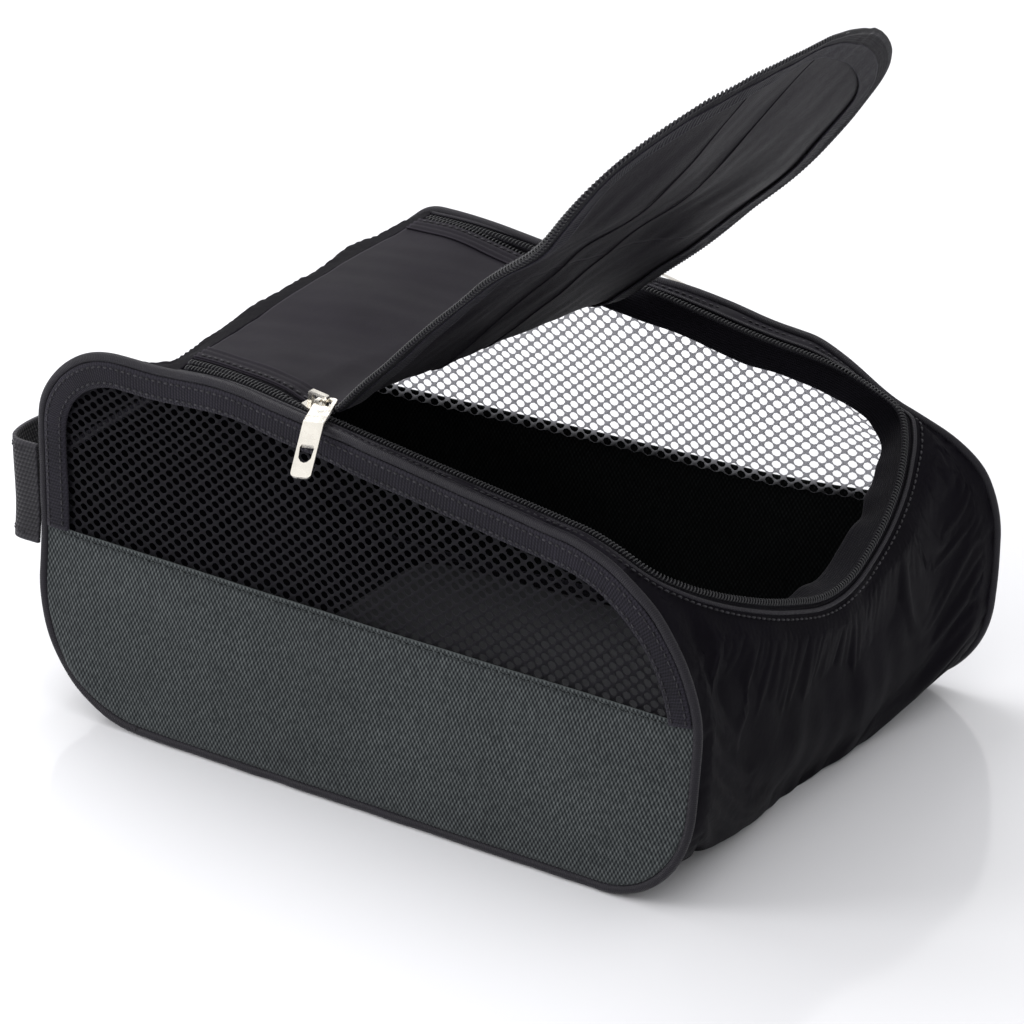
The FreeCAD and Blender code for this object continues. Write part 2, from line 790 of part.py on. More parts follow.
def flap_cloth():
    """Panel and zip tape of each of the flap's three zones."""
    heel = "-Dims.heel_seam_x + Dims.piece_gap"
    before_curl = "Dims.curl_x - Dims.hinge_gap"
    after_curl = "Dims.curl_x + Dims.hinge_gap"
    # zone, plan, open placement
    zones = [
        ("heel", zone_plan(heel, fold_x(-ACROSS, -GAP), fold_x(ACROSS, -GAP), heel),
         FreeCAD.Placement()),
        ("middle", zone_plan(fold_x(-ACROSS, GAP), before_curl, before_curl, fold_x(ACROSS, GAP)),
         OPEN_MIDDLE),
        ("toe", zone_plan(after_curl, REACH, REACH, after_curl), OPEN_TOE),
    ]
    inside = u_prism("lid_inside", -dim("lid_edge"))
    band = u_prism("lid_band", -dim("lid_tape_outer"), -dim("lid_tape_inner"), heel=HEEL_SEAM)
    upper = prism("upper_half", [(-120, 84), (REACH, 84), (REACH, REACH), (-120, REACH)],
                  "XZ", -ACROSS, ACROSS)
    for zone, plan, placement in zones:
        area = prism("zone_" + zone, plan, "XY", UPPER_LOW, ABOVE)
        panel = common("flap_%s_panel" % zone, ring_cloth, inside, area, upper)
        panel.Placement = placement
        finish(panel)
        tape = common("zip_tape_flap_" + zone, ring_tape, band, area, upper)
        tape.Placement = placement
        finish(tape)


def clipped(points, after_fold=-math.inf, before_fold=math.inf, toe_x=math.inf):
    """Part of a run between two offsets from the fold, and short of toe_x."""
    dense = [p + (q - p) * (k / 10.0) for p, q in zip(points[:-1], points[1:])
             for k in range(10)]
    dense.append(points[-1])
    keep = [p for p in dense
            if fold_x(p.y) + after_fold <= p.x <= fold_x(p.y) + before_fold and p.x <= toe_x]
    return keep[::3]


def flap_coils():
    """Coil on the flap's edge, split at the fold and the curl."""
    run = shifted(ZIP_LINE, -dim("lid_coil_off"))
    half = len(ZIP_LINE) // 2
    halves = (run[:half + 1], list(reversed(run[half:])))       # both from the heel end
    heel = [tube(clipped(r, before_fold=-GAP - 1)) for r in halves]
    finish(add_shape("zip_coil_flap_heel", Part.makeCompound(heel)))

    middle = [tube(clipped(r, after_fold=GAP + 1, toe_x=dim("curl_x") - GAP - 1))
              for r in halves]
    coil = add_shape("zip_coil_flap_middle", Part.makeCompound(middle))
    coil.Placement = OPEN_MIDDLE
    finish(coil)

    toe = [p for p in run if p.x >= dim("curl_x") + GAP + 1.5]
    coil = add_shape("zip_coil_flap_toe", tube(toe))
    coil.Placement = OPEN_TOE
    finish(coil)


flap_cloth()
flap_coils()


# ---------------------------------------------- heel handle and cross seam
def heel_handle():
    """Upright strap loop standing out from the heel end."""
    body = doc.addObject("PartDesign::Body", "heel_handle")
    root = "-(Dims.heel_x + Dims.handle_gap)"
    outer_x = "-Dims.handle_reach"
    inner_x = "-(Dims.handle_reach - Dims.handle_thick)"
    root_y = "Dims.handle_half"
    end_y = "Dims.handle_half - Dims.handle_taper"
    thinner = " - Dims.handle_thick"
    points = [(root, "-(%s)" % root_y), (outer_x, "-(%s)" % end_y),
              (outer_x, end_y), (root, root_y),
              (root, root_y + thinner), (inner_x, end_y + thinner),
              (inner_x, "-(%s)" % (end_y + thinner)), (root, "-(%s)" % (root_y + thinner))]
    pad_polygon(body, "handle_sk", "XY_Plane", points, "Dims.handle_high - Dims.handle_low",
                depth="Dims.handle_low")
    reach = dim("handle_reach")
    for name, corner_x, radius in (
            ("handle_outer", reach, "Dims.handle_rad"),
            ("handle_inner", reach - dim("handle_thick"),
             "Dims.handle_rad - Dims.handle_thick")):
        dress_edges(body, "Fillet", name,
                    lambda edge, bb: (bb.ZLength > 20 and bb.XLength < 1e-6
                                      and abs(bb.XMin + corner_x) < 0.2 and abs(bb.YMin) > 50),
                    radius)
    finish(body)


def heel_seam_binding():
    """Binding over the cross seam inside the top, heel end."""
    box = doc.addObject("Part::Box", "heel_seam_binding")
    box.setExpression("Length", "Dims.cross_wide")
    box.setExpression("Width", "Dims.zip_y_heel + Dims.far_zip_y_heel - 2 * Dims.cross_inset")
    box.setExpression("Height", "Dims.cross_thick")
    box.Placement = FreeCAD.Placement(
        V(HEEL_SEAM - dim("cross_wide") / 2, -(dim("zip_y_heel") - dim("cross_inset")),
          dim("top_z") - dim("cross_drop")),
        FreeCAD.Rotation())
    finish(box)


heel_handle()
heel_seam_binding()

# ------------------------------------------------------------- zip sliders
# Slider frame: x along the zip towards the toe, z out of the cloth.
SLIDER_HALF = "Dims.slider_wide / 2"
BRIDGE_HALF = "Dims.bridge_wide / 2"
LEG_HIGH = "Dims.bridge_high - 1.2"
# name, x from, x to, y from, y to, bottom, height
SLIDER_POST = ("post", "2.5", "5.5", "-1.1", "1.1", "-2.6", "4.6")
SLIDER_BLOCKS = [
    ("flange_a", "-2", "3", "-(%s)" % SLIDER_HALF, "-(%s - 0.7)" % SLIDER_HALF, "-0.6", "2.6"),
    ("flange_b", "-2", "3", SLIDER_HALF + " - 0.7", SLIDER_HALF, "-0.6", "2.6"),
    ("leg_a", "-4.6", "-2.6", "-(%s)" % BRIDGE_HALF, BRIDGE_HALF, "2.5", LEG_HIGH),
    ("leg_b", "2.6", "4.6", "-(%s)" % BRIDGE_HALF, BRIDGE_HALF, "2.5", LEG_HIGH),
    ("bridge", "-4.6", "4.6", "-(%s)" % BRIDGE_HALF, BRIDGE_HALF,
     "2.7 + Dims.bridge_high - 1.4", "1.4"),
]


def slider_frame(side):
    x = dim("slider_x_" + side)
    along = unit(V(1.0, zip_y(1.0, side) - zip_y(0.0, side), -math.tan(CROWN)))
    across = unit(CROWN_NORMAL.cross(along))
    return FreeCAD.Placement(V(x, zip_y(x, side), z_at(x)),
                             FreeCAD.Rotation(along, across, along.cross(across), "ZXY"))


def slider_plate(body, name, bottom, thickness):
    """Plate that narrows towards both ends."""
    toe = "Dims.slider_long / 2"
    heel = "-(%s)" % toe
    # x, half width
    stations = [(heel, SLIDER_HALF + " - 1.4"), (heel + " + 4", SLIDER_HALF),
                (toe + " - 3", SLIDER_HALF), (toe, SLIDER_HALF + " - 1.2")]
    points = [(x, "-(%s)" % y) for x, y in stations] + list(reversed(stations))
    pad_polygon(body, name, "XY_Plane", points, thickness, depth=bottom)


def slider_block(body, side, block):
    name, x0, x1, y0, y1, bottom, height = block
    pad_polygon(body, "%s_%s" % (side, name), "XY_Plane",
                [(x0, y0), (x1, y0), (x1, y1), (x0, y1)], height, depth=bottom)


def slider(side):
    """Two plates on a post, side flanges, and a bridge on two legs."""
    body = doc.addObject("PartDesign::Body", side + "_slider")
    slider_plate(body, side + "_lower_plate", "-3.2", "1.1")
    slider_block(body, side, SLIDER_POST)
    slider_plate(body, side + "_upper_plate", "1.5", "Dims.plate_thick")
    for block in SLIDER_BLOCKS:
        slider_block(body, side, block)
    top = body.Tip.Shape.BoundBox.ZMax
    dress_edges(body, "Fillet", side + "_bridge_round",
                lambda edge, bb: (abs(bb.ZMin - top) < 1e-4 and bb.YLength > 1.5
                                  and bb.XLength < 1e-6),
                "Dims.bridge_rad")
    body.Placement = slider_frame(side)
    finish(body)


# --------------------------------------------------------------- zip pulls
# Pull frame: x from the bridge leg towards the tail, y across, z up.
PIVOT = V(3.6, 0, 5.2)      # the pull's origin on the bridge leg, in the slider frame
PULL_START = -3.8
# Eye round the bridge leg: x, y
PULL_EYE = [
    (-2.2, -1.6), (-1.1, -2.7), (2.6, -2.7), (3.8, -1.6),
    (3.8, 1.6), (2.6, 2.7), (-1.1, 2.7), (-2.2, 1.6),
]
# D-shaped finger hole near the tail: x, y
PULL_HOLE = [
    (26.5, -2.4), (27.6, -3.0), (31.6, -2.6), (33.0, -1.4), (33.4, 0.0),
    (33.0, 1.4), (31.6, 2.6), (27.6, 3.0), (26.5, 2.4),
]


def pull_frame(side):
    """Pull hanging outwards from the slider, turned towards the toe."""
    yaw = math.radians(dim("pull_yaw"))
    hang = math.radians(dim("pull_hang_" + side))
    outwards = -1.0 if side == "near" else 1.0
    level = V(math.sin(yaw), outwards * math.cos(yaw), 0)
    along = level * math.cos(hang) + V(0, 0, -math.sin(hang))
    across = unit(V(0, 0, 1).cross(level))
    return FreeCAD.Placement(slider_frame(side).multVec(PIVOT),
                             FreeCAD.Rotation(along, across, unit(along.cross(across)), "ZXY"))


def pull_profile():
    """Side profile: flat eye and neck, then a tail bent down."""
    thick, neck, drop = dim("pull_thick"), dim("pull_neck"), dim("pull_drop")
    half = thick / 2.0
    bend = math.radians(dim("pull_bend"))
    mitre = half * math.tan(bend / 2.0)
    tail_x = neck - mitre + drop * math.cos(bend)
    tail_z = -half - drop * math.sin(bend)
    return [(PULL_START, -half), (neck - mitre, -half), (tail_x, tail_z),
            (tail_x + thick * math.sin(bend), tail_z + thick * math.cos(bend)),
            (neck + mitre, half), (PULL_START, half)]


def pull(side):
    """Zip pull with an eye, a finger hole and rounded ends."""
    body = doc.addObject("PartDesign::Body", side + "_pull")
    pad_polygon(body, side + "_pull_side", "XZ_Plane", pull_profile(), "Dims.pull_wide",
                symmetric=True)
    pocket_polygon(body, side + "_pull_eye", "XY_Plane", PULL_EYE)
    pocket_polygon(body, side + "_pull_hole", "XY_Plane", PULL_HOLE)
    tail = body.Tip.Shape.BoundBox.XMax

    def end_corner(edge, bb):
        on_side = bb.YLength < 1e-6 and abs(abs(bb.YMin) - dim("pull_wide") / 2) < 1e-4
        at_end = abs(bb.XMin - PULL_START) < 0.05 or bb.XMax > tail - 1.0
        return edge.Length < 1.5 * dim("pull_thick") and on_side and at_end

    dress_edges(body, "Fillet", side + "_pull_ends", end_corner, "Dims.pull_end_rad")
    body.Placement = pull_frame(side)
    finish(body)


for side in ("near", "far"):
    slider(side)
    pull(side)

# -------------------------------------------------------- check and export
doc.recompute()
failed = [o.Name for o in doc.Objects if "Invalid" in o.State or "Error" in o.State]
if failed:
    raise RuntimeError("failed objects: %s" % failed)
for piece in pieces:
    shape = piece.Shape
    if shape.isNull() or not shape.isValid() or not shape.Solids:
        raise RuntimeError("bad shape: %s" % piece.Label)
os.makedirs("parts", exist_ok=True)
for piece in pieces:
    piece.Shape.exportStep(os.path.join("parts", piece.Label + ".step"))
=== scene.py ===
"""Golf shoe bag: sewn cloth, mesh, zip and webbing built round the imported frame."""
import json
import math

import bpy
import numpy as np
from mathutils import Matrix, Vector


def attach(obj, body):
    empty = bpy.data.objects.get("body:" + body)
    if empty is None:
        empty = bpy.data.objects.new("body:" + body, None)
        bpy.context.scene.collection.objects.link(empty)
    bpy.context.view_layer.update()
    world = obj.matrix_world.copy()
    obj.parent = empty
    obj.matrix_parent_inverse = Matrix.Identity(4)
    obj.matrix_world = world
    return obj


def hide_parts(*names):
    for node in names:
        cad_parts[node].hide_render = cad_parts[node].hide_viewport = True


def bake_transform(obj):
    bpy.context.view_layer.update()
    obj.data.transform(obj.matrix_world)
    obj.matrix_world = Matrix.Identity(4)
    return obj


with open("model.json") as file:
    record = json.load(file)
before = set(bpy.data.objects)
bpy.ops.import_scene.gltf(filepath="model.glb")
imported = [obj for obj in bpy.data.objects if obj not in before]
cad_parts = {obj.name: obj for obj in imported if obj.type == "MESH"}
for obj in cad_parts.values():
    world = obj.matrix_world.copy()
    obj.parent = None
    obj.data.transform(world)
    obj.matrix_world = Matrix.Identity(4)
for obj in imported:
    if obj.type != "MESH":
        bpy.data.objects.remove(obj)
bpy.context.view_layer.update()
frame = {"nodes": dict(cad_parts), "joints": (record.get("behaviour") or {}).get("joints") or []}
NODES = frame["nodes"]

# ------------------------------------------------------------ small helpers
MM = 0.001
TAN = math.tan(math.radians(2.694))


def W(x):
    return 108.0 + np.asarray(x) * TAN


def sstep(t):
    t = np.clip(t, 0.0, 1.0)
    return t * t * (3 - 2 * t)


def ramp(x, a, b):
    return sstep((np.asarray(x, float) - a) / (b - a))


def waves(p, size, seed, n=7):
    """Smooth, repeatable unevenness in about -1..1, for points p (N, k)."""
    rng = np.random.RandomState(seed)
    p = np.asarray(p, float)
    out = np.zeros(p.shape[:-1])
    for i in range(n):
        d = rng.normal(size=p.shape[-1])
        d /= np.linalg.norm(d)
        k = 2 * math.pi / (size * rng.uniform(0.65, 1.7))
        out += np.sin((p @ d) * k + rng.uniform(0, 6.28))
    return out / math.sqrt(n) / 1.3


def unit(v):
    return v / np.maximum(np.linalg.norm(v, axis=-1, keepdims=True), 1e-9)


def rot(P, A, ax, ang):
    """Points P turned about the line through A along ax by ang (radians)."""
    A = np.asarray(A, float)
    ax = np.asarray(ax, float)
    ax = ax / np.linalg.norm(ax)
    p = P - A
    ang = np.asarray(ang) * np.ones(P.shape[:-1])
    c, s = np.cos(ang)[..., None], np.sin(ang)[..., None]
    return A + p * c + np.cross(ax, p) * s + ax * (p @ ax)[..., None] * (1 - c)


# ------------------------------------------------------- side panel outline
def cross_point(n1, d1, n2, d2):
    det = n1[0] * n2[1] - n1[1] * n2[0]
    return ((d1 * n2[1] - d2 * n1[1]) / det, (n1[0] * d2 - n2[0] * d1) / det)


class Track:
    """The bag's outline in X and Z as a dense run, counter-clockwise from
    the heel end of the base, with outward normals."""

    def __init__(self, inset, slumped=False, step=0.5):
        a, b = math.radians(7.53), math.radians(39.8)
        sides = [((0.0, -1.0), 0.0), ((1.0, 0.0), 167.0), ((math.sin(a), math.cos(a)), 158.7), ((0.0, 1.0), 170.0)]
        radii = [42.0, 78.0, 250.0, 44.0, 58.0]
        if slumped:
            sides.append(((-math.sin(b), math.cos(b)), 194.9))
            radii = [42.0, 78.0, 250.0, 20.0, 20.0, 58.0]
        sides.append(((-1.0, 0.0), 169.0))
        n = len(sides)
        arcs = []
        for i in range(n):
            j = (i + 1) % n
            r = radii[i] - inset
            c = cross_point(sides[i][0], sides[i][1] - inset - r, sides[j][0], sides[j][1] - inset - r)
            a0 = math.atan2(sides[i][0][1], sides[i][0][0])
            a1 = math.atan2(sides[j][0][1], sides[j][0][0])
            while a1 <= a0:
                a1 += 2 * math.pi
            arcs.append((c, r, a0, a1))
        P, N = [], []
        for i in range(n):
            c0, r0, _, e0 = arcs[i - 1]
            c1, r1, s1, e1 = arcs[i]
            nn = np.array(sides[i][0])
            p, q = np.array(c0) + r0 * nn, np.array(c1) + r1 * nn
            k = max(2, int(np.linalg.norm(q - p) / step))
            for t in np.arange(k) / k:
                P.append(p + (q - p) * t)
                N.append(nn)
            k = max(4, int(r1 * (e1 - s1) / step))
            for t in np.arange(k) / k:
                ang = s1 + (e1 - s1) * t
                N.append(np.array([math.cos(ang), math.sin(ang)]))
                P.append(np.array(c1) + r1 * N[-1])
        P.append(P[0])
        N.append(N[0])
        self.P, self.N = np.array(P), np.array(N)
        self.S = np.concatenate([[0], np.cumsum(np.linalg.norm(np.diff(self.P, axis=0), axis=1))])
        self.length = self.S[-1]

    def at(self, s):
        s = np.asarray(s, float) % self.length
        p = np.stack([np.interp(s, self.S, self.P[:, k]) for k in (0, 1)], -1)
        n = unit(np.stack([np.interp(s, self.S, self.N[:, k]) for k in (0, 1)], -1))
        return p, n

    def s_top(self, x):
        m = self.P[:, 1] > 128
        order = np.argsort(self.P[m, 0])
        return np.interp(x, self.P[m, 0][order], self.S[m][order])

    def s_bottom(self, x):
        m = (self.P[:, 1] < 30) & (self.S < self.length * 0.5)
        return np.interp(x, self.P[m, 0], self.S[m])

    def s_toe(self, z):
        m = (self.P[:, 0] > 90) & (self.P[:, 1] > 20)
        return np.interp(z, self.P[m, 1], self.S[m])

    def s_heel(self, z):
        m = (self.P[:, 0] < -100) & (self.S > self.length * 0.5)
        order = np.argsort(self.P[m, 1])
        return np.interp(z, self.P[m, 1][order], self.S[m][order])


T0 = Track(0.0)
TM = Track(2.6)
TS = Track(2.6, slumped=True)


def on_skin(s, y, h):
    """A point on the cloth skin: s round the outline, y across, h outwards."""
    p, n = TM.at(s)
    h = np.asarray(h, float)
    return np.stack([p[..., 0] + n[..., 0] * h, np.asarray(y) + 0 * h, p[..., 1] + n[..., 1] * h], -1)


def lift(x, y, z):
    """The heel end of the top stands a little proud towards the far side."""
    along = np.maximum(ramp(-x, -10, 70), ramp(-x, -78, -5) * ramp(y, 40, 90))
    return 4.2 * along * ramp(y, -85, 30) * ramp(z, 112, 162)


def soft_side(P, side):
    """How the standing bag's sides lean and belly from their flat patterns."""
    P = np.array(P, float)
    x, y, z = P[..., 0], P[..., 1], P[..., 2]
    if side == "far":
        near_edge = ramp(y, 78, 108)
        lean = 11.0 * ramp(-x, -45, 25) * ramp(z, 95, 168) * ramp(y, 92, 106)
        bulge = 12.0 * ramp(x, 55, 150) * np.exp(-((z - 72) / 54.0) ** 2)
        belly = 1.5 * np.exp(-((x + 20) / 90.0) ** 2 - ((z - 85) / 35.0) ** 2)
        sink = ramp(x, 82, 128) * ramp(z, 118, 156)
        low = ramp(x, 80, 128) * ramp(z, 95, 140) * ramp(y, 96, 109)
        P[..., 1] = y + near_edge * (bulge + belly) - lean - 2.5 * sink * near_edge - 3.5 * low
        P[..., 2] = z - 2.2 * sink * ramp(y, 60, 100) - 9.0 * low + lift(x, y, z)
    else:
        edge = ramp(-y * 108.0 / W(x), 85, 104)
        belly = 1.6 * np.exp(-((x - 10) / 90.0) ** 2 - ((z - 100) / 40.0) ** 2)
        splay = (8.0 + 2.5 * ramp(x, -165, -90)) * ramp(-z, -86, 0)
        P[..., 1] = y - edge * (belly + splay)
        P[..., 2] = z - 3.6 * ramp(-x, 58, 112) * ramp(z, 118, 160) * edge + lift(x, y, z)
    return P


def soft(P):
    P = np.array(P, float)
    far = P[..., 1] > 0
    out = np.where(far[..., None], soft_side(P, "far"), soft_side(P, "near"))
    return out


# ------------------------------------------------------------ mesh builders
def make(name, verts, faces, material, uv=None, smooth=True):
    me = bpy.data.meshes.new(name)
    me.from_pydata((np.asarray(verts, float) * MM).tolist(), [], faces)
    if uv is not None:
        layer = me.uv_layers.new(name="cloth_mm")
        idx = np.zeros(len(me.loops), np.int32)
        me.loops.foreach_get("vertex_index", idx)
        layer.data.foreach_set("uv", np.asarray(uv, np.float32)[idx].ravel())
    me.polygons.foreach_set("use_smooth", [smooth] * len(me.polygons))
    me.materials.append(material)
    me.update()
    me.validate()
    o = bpy.data.objects.new(name, me)
    bpy.context.scene.collection.objects.link(o)
    return o


def grid_faces(nu, nv, cu=False, cv=False, base=0):
    iu = np.arange(nu if cu else nu - 1)
    iv = np.arange(nv if cv else nv - 1)
    a, b = np.meshgrid(iu, iv, indexing="ij")
    a2, b2 = (a + 1) % nu, (b + 1) % nv
    f = np.stack([a * nv + b, a2 * nv + b, a2 * nv + b2, a * nv + b2], -1).reshape(-1, 4) + base
    return f.tolist()


def sheet(name, P, material, uv, thick=0.9, cu=False, cv=False, bevel=False):
    nu, nv = P.shape[:2]
    o = make(name, P.reshape(-1, 3), grid_faces(nu, nv, cu, cv), material, np.asarray(uv).reshape(-1, 2))
    m = o.modifiers.new("thickness", "SOLIDIFY")
    m.thickness = thick * MM
    m.offset = 0.0
    m.use_even_offset = False
    return o


def settle(o, pin, frames=14, pull=0.3):
    """Let the cloth sag and crease between its seams, then keep that shape."""
    sc_ = bpy.context.scene
    for m in o.modifiers:
        m.show_viewport = False
    vg = o.vertex_groups.new(name="seams")
    for i, w_ in enumerate(np.asarray(pin, float).ravel()):
        vg.add([i], float(w_), "REPLACE")
    c = o.modifiers.new("cloth", "CLOTH")
    st = c.settings
    st.vertex_group_mass = "seams"
    st.quality = 5
    st.mass = 0.12
    st.tension_stiffness = st.compression_stiffness = 18.0
    st.shear_stiffness = 8.0
    st.bending_stiffness = 0.35
    st.air_damping = 3.0
    st.effector_weights.gravity = pull
    st.shrink_min = -0.02
    c.collision_settings.use_collision = False
    c.point_cache.frame_start, c.point_cache.frame_end = 1, frames
    me = o.data
    n = len(me.vertices)
    a0 = np.zeros(n * 3)
    me.vertices.foreach_get("co", a0)
    for f_ in range(1, frames + 1):
        sc_.frame_set(f_)
        dg = bpy.context.evaluated_depsgraph_get()
        ev = o.evaluated_get(dg).data
    a1 = np.zeros(n * 3)
    if len(ev.vertices) == n:
        ev.vertices.foreach_get("co", a1)
        d = (a1 - a0).reshape(-1, 3)
        far_ = np.linalg.norm(d, axis=1)
        cap = 6.0 * MM
        d *= np.where(far_ > cap, cap / np.maximum(far_, 1e-9), 1.0)[:, None]
        me.vertices.foreach_set("co", (a0.reshape(-1, 3) + d).ravel())
        me.update()
        print("settled", o.name, "mean %.2f mm, most %.2f mm" % (far_.mean() * 1000, far_.max() * 1000))
    o.modifiers.remove(c)
    for m in o.modifiers:
        m.show_viewport = True
    sc_.frame_set(1)


def arclen(P):
    return np.concatenate([[0], np.cumsum(np.linalg.norm(np.diff(P, axis=0), axis=1))])


def resample(P, step=None, n=None):
    s = arclen(P)
    if n is None:
        n = max(2, int(round(s[-1] / step)) + 1)
    t = np.linspace(0, s[-1], n)
    return np.stack([np.interp(t, s, P[:, k]) for k in range(P.shape[1])], -1)


def catmull(P, n=14):
    P = np.asarray(P, float)
    Q = np.vstack([2 * P[0] - P[1], P, 2 * P[-1] - P[-2]])
    out = []
    for i in range(1, len(Q) - 2):
        a, b, c, d = Q[i - 1], Q[i], Q[i + 1], Q[i + 2]
        for t in np.arange(n) / n:
            out.append(0.5 * (2 * b + (c - a) * t + (2 * a - 5 * b + 4 * c - d) * t * t + (3 * b - a - 3 * c + d) * t ** 3))
    out.append(P[-1])
    return np.array(out)


def tube_geo(C, L, N, ra, rb, k=12, closed=False):
    """Rings of k points round the run C, radius ra along L and rb along N."""
    a = np.arange(k) * 2 * math.pi / k
    ra = np.broadcast_to(np.asarray(ra, float), (len(C),))
    rb = np.broadcast_to(np.asarray(rb, float), (len(C),))
    P = C[:, None] + L[:, None] * (np.cos(a)[None, :, None] * ra[:, None, None]) + N[:, None] * (
        np.sin(a)[None, :, None] * rb[:, None, None])
    n = len(C)
    faces = grid_faces(n, k, closed, True)
    verts = P.reshape(-1, 3)
    if not closed:
        faces.append(list(range(k))[::-1])
        faces.append([(n - 1) * k + i for i in range(k)])
    s = arclen(C)
    uv = np.stack([np.repeat(s, k), np.tile(a * (np.mean(ra) + np.mean(rb)) / 2, n)], -1)
    return verts, faces, uv


def merge(parts):
    V, F, U, base = [], [], [], 0
    for v, f, u in parts:
        V.append(v)
        F += [[i + base for i in q] for q in f]
        U.append(u)
        base += len(v)
    return np.vstack(V), F, np.vstack(U)


def frames_on(C, Nrm):
    t = unit(np.gradient(C, axis=0))
    L = unit(np.cross(t, Nrm))
    return t, L, unit(np.cross(L, t))


def helix_geo(C, Nrm, ra, rb, wire, pitch, per=11, k=5):
    s = arclen(C)
    turns = s[-1] / pitch
    n = int(turns * per)
    t = np.linspace(0, s[-1], n)
    c = np.stack([np.interp(t, s, C[:, j]) for j in range(3)], -1)
    nr = unit(np.stack([np.interp(t, s, Nrm[:, j]) for j in range(3)], -1))
    _, L, N2 = frames_on(c, nr)
    ph = 2 * math.pi * t / pitch
    p = c + L * (ra * np.cos(ph))[:, None] + N2 * (rb * np.sin(ph))[:, None]
    rad = unit(L * (np.cos(ph) / ra)[:, None] + N2 * (np.sin(ph) / rb)[:, None])
    tan = unit(np.gradient(p, axis=0))
    rad = unit(rad - tan * (rad * tan).sum(1, keepdims=True))
    return tube_geo(p, rad, np.cross(tan, rad), wire, wire, k)


def stitch_geo(C, Nrm, lift=0.35, long=2.1, gap=1.1, wide=0.42, high=0.34):
    """A run of single stitches standing a little proud of the cloth."""
    s = arclen(C)
    t, L, N2 = frames_on(C, Nrm)
    verts, faces, uv = [], [], []
    at = np.arange(1.0, s[-1] - long, long + gap)
    base = 0
    for a in at:
        def get(A, v):
            return np.array([np.interp(v, s, A[:, j]) for j in range(3)])
        ring = []
        for f, w_, h_ in ((0.0, 0.35, 0.1), (0.22, 1.0, 0.9), (0.78, 1.0, 0.9), (1.0, 0.35, 0.1)):
            c = get(C, a + f * long) + get(N2, a) * (lift + high * (h_ - 0.5))
            l = get(L, a)
            nn = get(N2, a)
            for (x, y) in ((-1, -0.6), (1, -0.6), (0.7, 0.6), (-0.7, 0.6)):
                ring.append(c + l * x * wide * w_ / 1.0 + nn * y * high)
        verts += ring
        for k in range(3):
            for j in range(4):
                p, q = base + 4 * k + j, base + 4 * k + (j + 1) % 4
                faces.append([p, q, q + 4, p + 4])
        faces.append([base, base + 3, base + 2, base + 1])
        faces.append([base + 12, base + 13, base + 14, base + 15])
        uv += [[a, 0]] * 16
        base += 16
    return np.array(verts), faces, np.array(uv, float)


# --------------------------------------------------------------- materials
class Nodes:
    def __init__(self, name):
        self.m = bpy.data.materials.new(name)
        self.m.use_nodes = True
        self.t = self.m.node_tree
        self.t.nodes.clear()
        self.out = self.t.nodes.new("ShaderNodeOutputMaterial")
        self.b = self.t.nodes.new("ShaderNodeBsdfPrincipled")
        self.t.links.new(self.b.outputs[0], self.out.inputs[0])

    def n(self, kind, **kw):
        x = self.t.nodes.new(kind)
        for k, v in kw.items():
            setattr(x, k, v)
        return x

    def put(self, socket, v):
        if isinstance(v, bpy.types.NodeSocket):
            self.t.links.new(v, socket)
        elif v is not None:
            socket.default_value = v

    def math(self, op, a, b=None, c=None, clamp=False):
        x = self.n("ShaderNodeMath", operation=op, use_clamp=clamp)
        self.put(x.inputs[0], a)
        self.put(x.inputs[1], b)
        if c is not None:
            self.put(x.inputs[2], c)
        return x.outputs[0]

    def mix(self, f, a, b):
        x = self.n("ShaderNodeMix", data_type="RGBA")
        self.put(x.inputs[0], f)
        self.put(x.inputs[6], a)
        self.put(x.inputs[7], b)
        return x.outputs[2]

    def noise(self, vec, scale, detail=3.0, rough=0.55):
        x = self.n("ShaderNodeTexNoise")
        self.put(x.inputs["Vector"], vec)
        x.inputs["Scale"].default_value = scale
        x.inputs["Detail"].default_value = detail
        x.inputs["Roughness"].default_value = rough
        return x.outputs[0]

    def ranged(self, v, a, b, c, d):
        x = self.n("ShaderNodeMapRange")
        self.put(x.inputs[0], v)
        for i, q in enumerate((a, b, c, d)):
            x.inputs[i + 1].default_value = q
        return x.outputs[0]

    def bump(self, height, dist, strength=1.0, normal=None):
        x = self.n("ShaderNodeBump")
        x.inputs["Strength"].default_value = strength
        x.inputs["Distance"].default_value = dist
        self.put(x.inputs["Height"], height)
        if normal is not None:
            self.put(x.inputs["Normal"], normal)
        return x.outputs[0]


def rgba(c):
    return (c[0], c[1], c[2], 1.0)


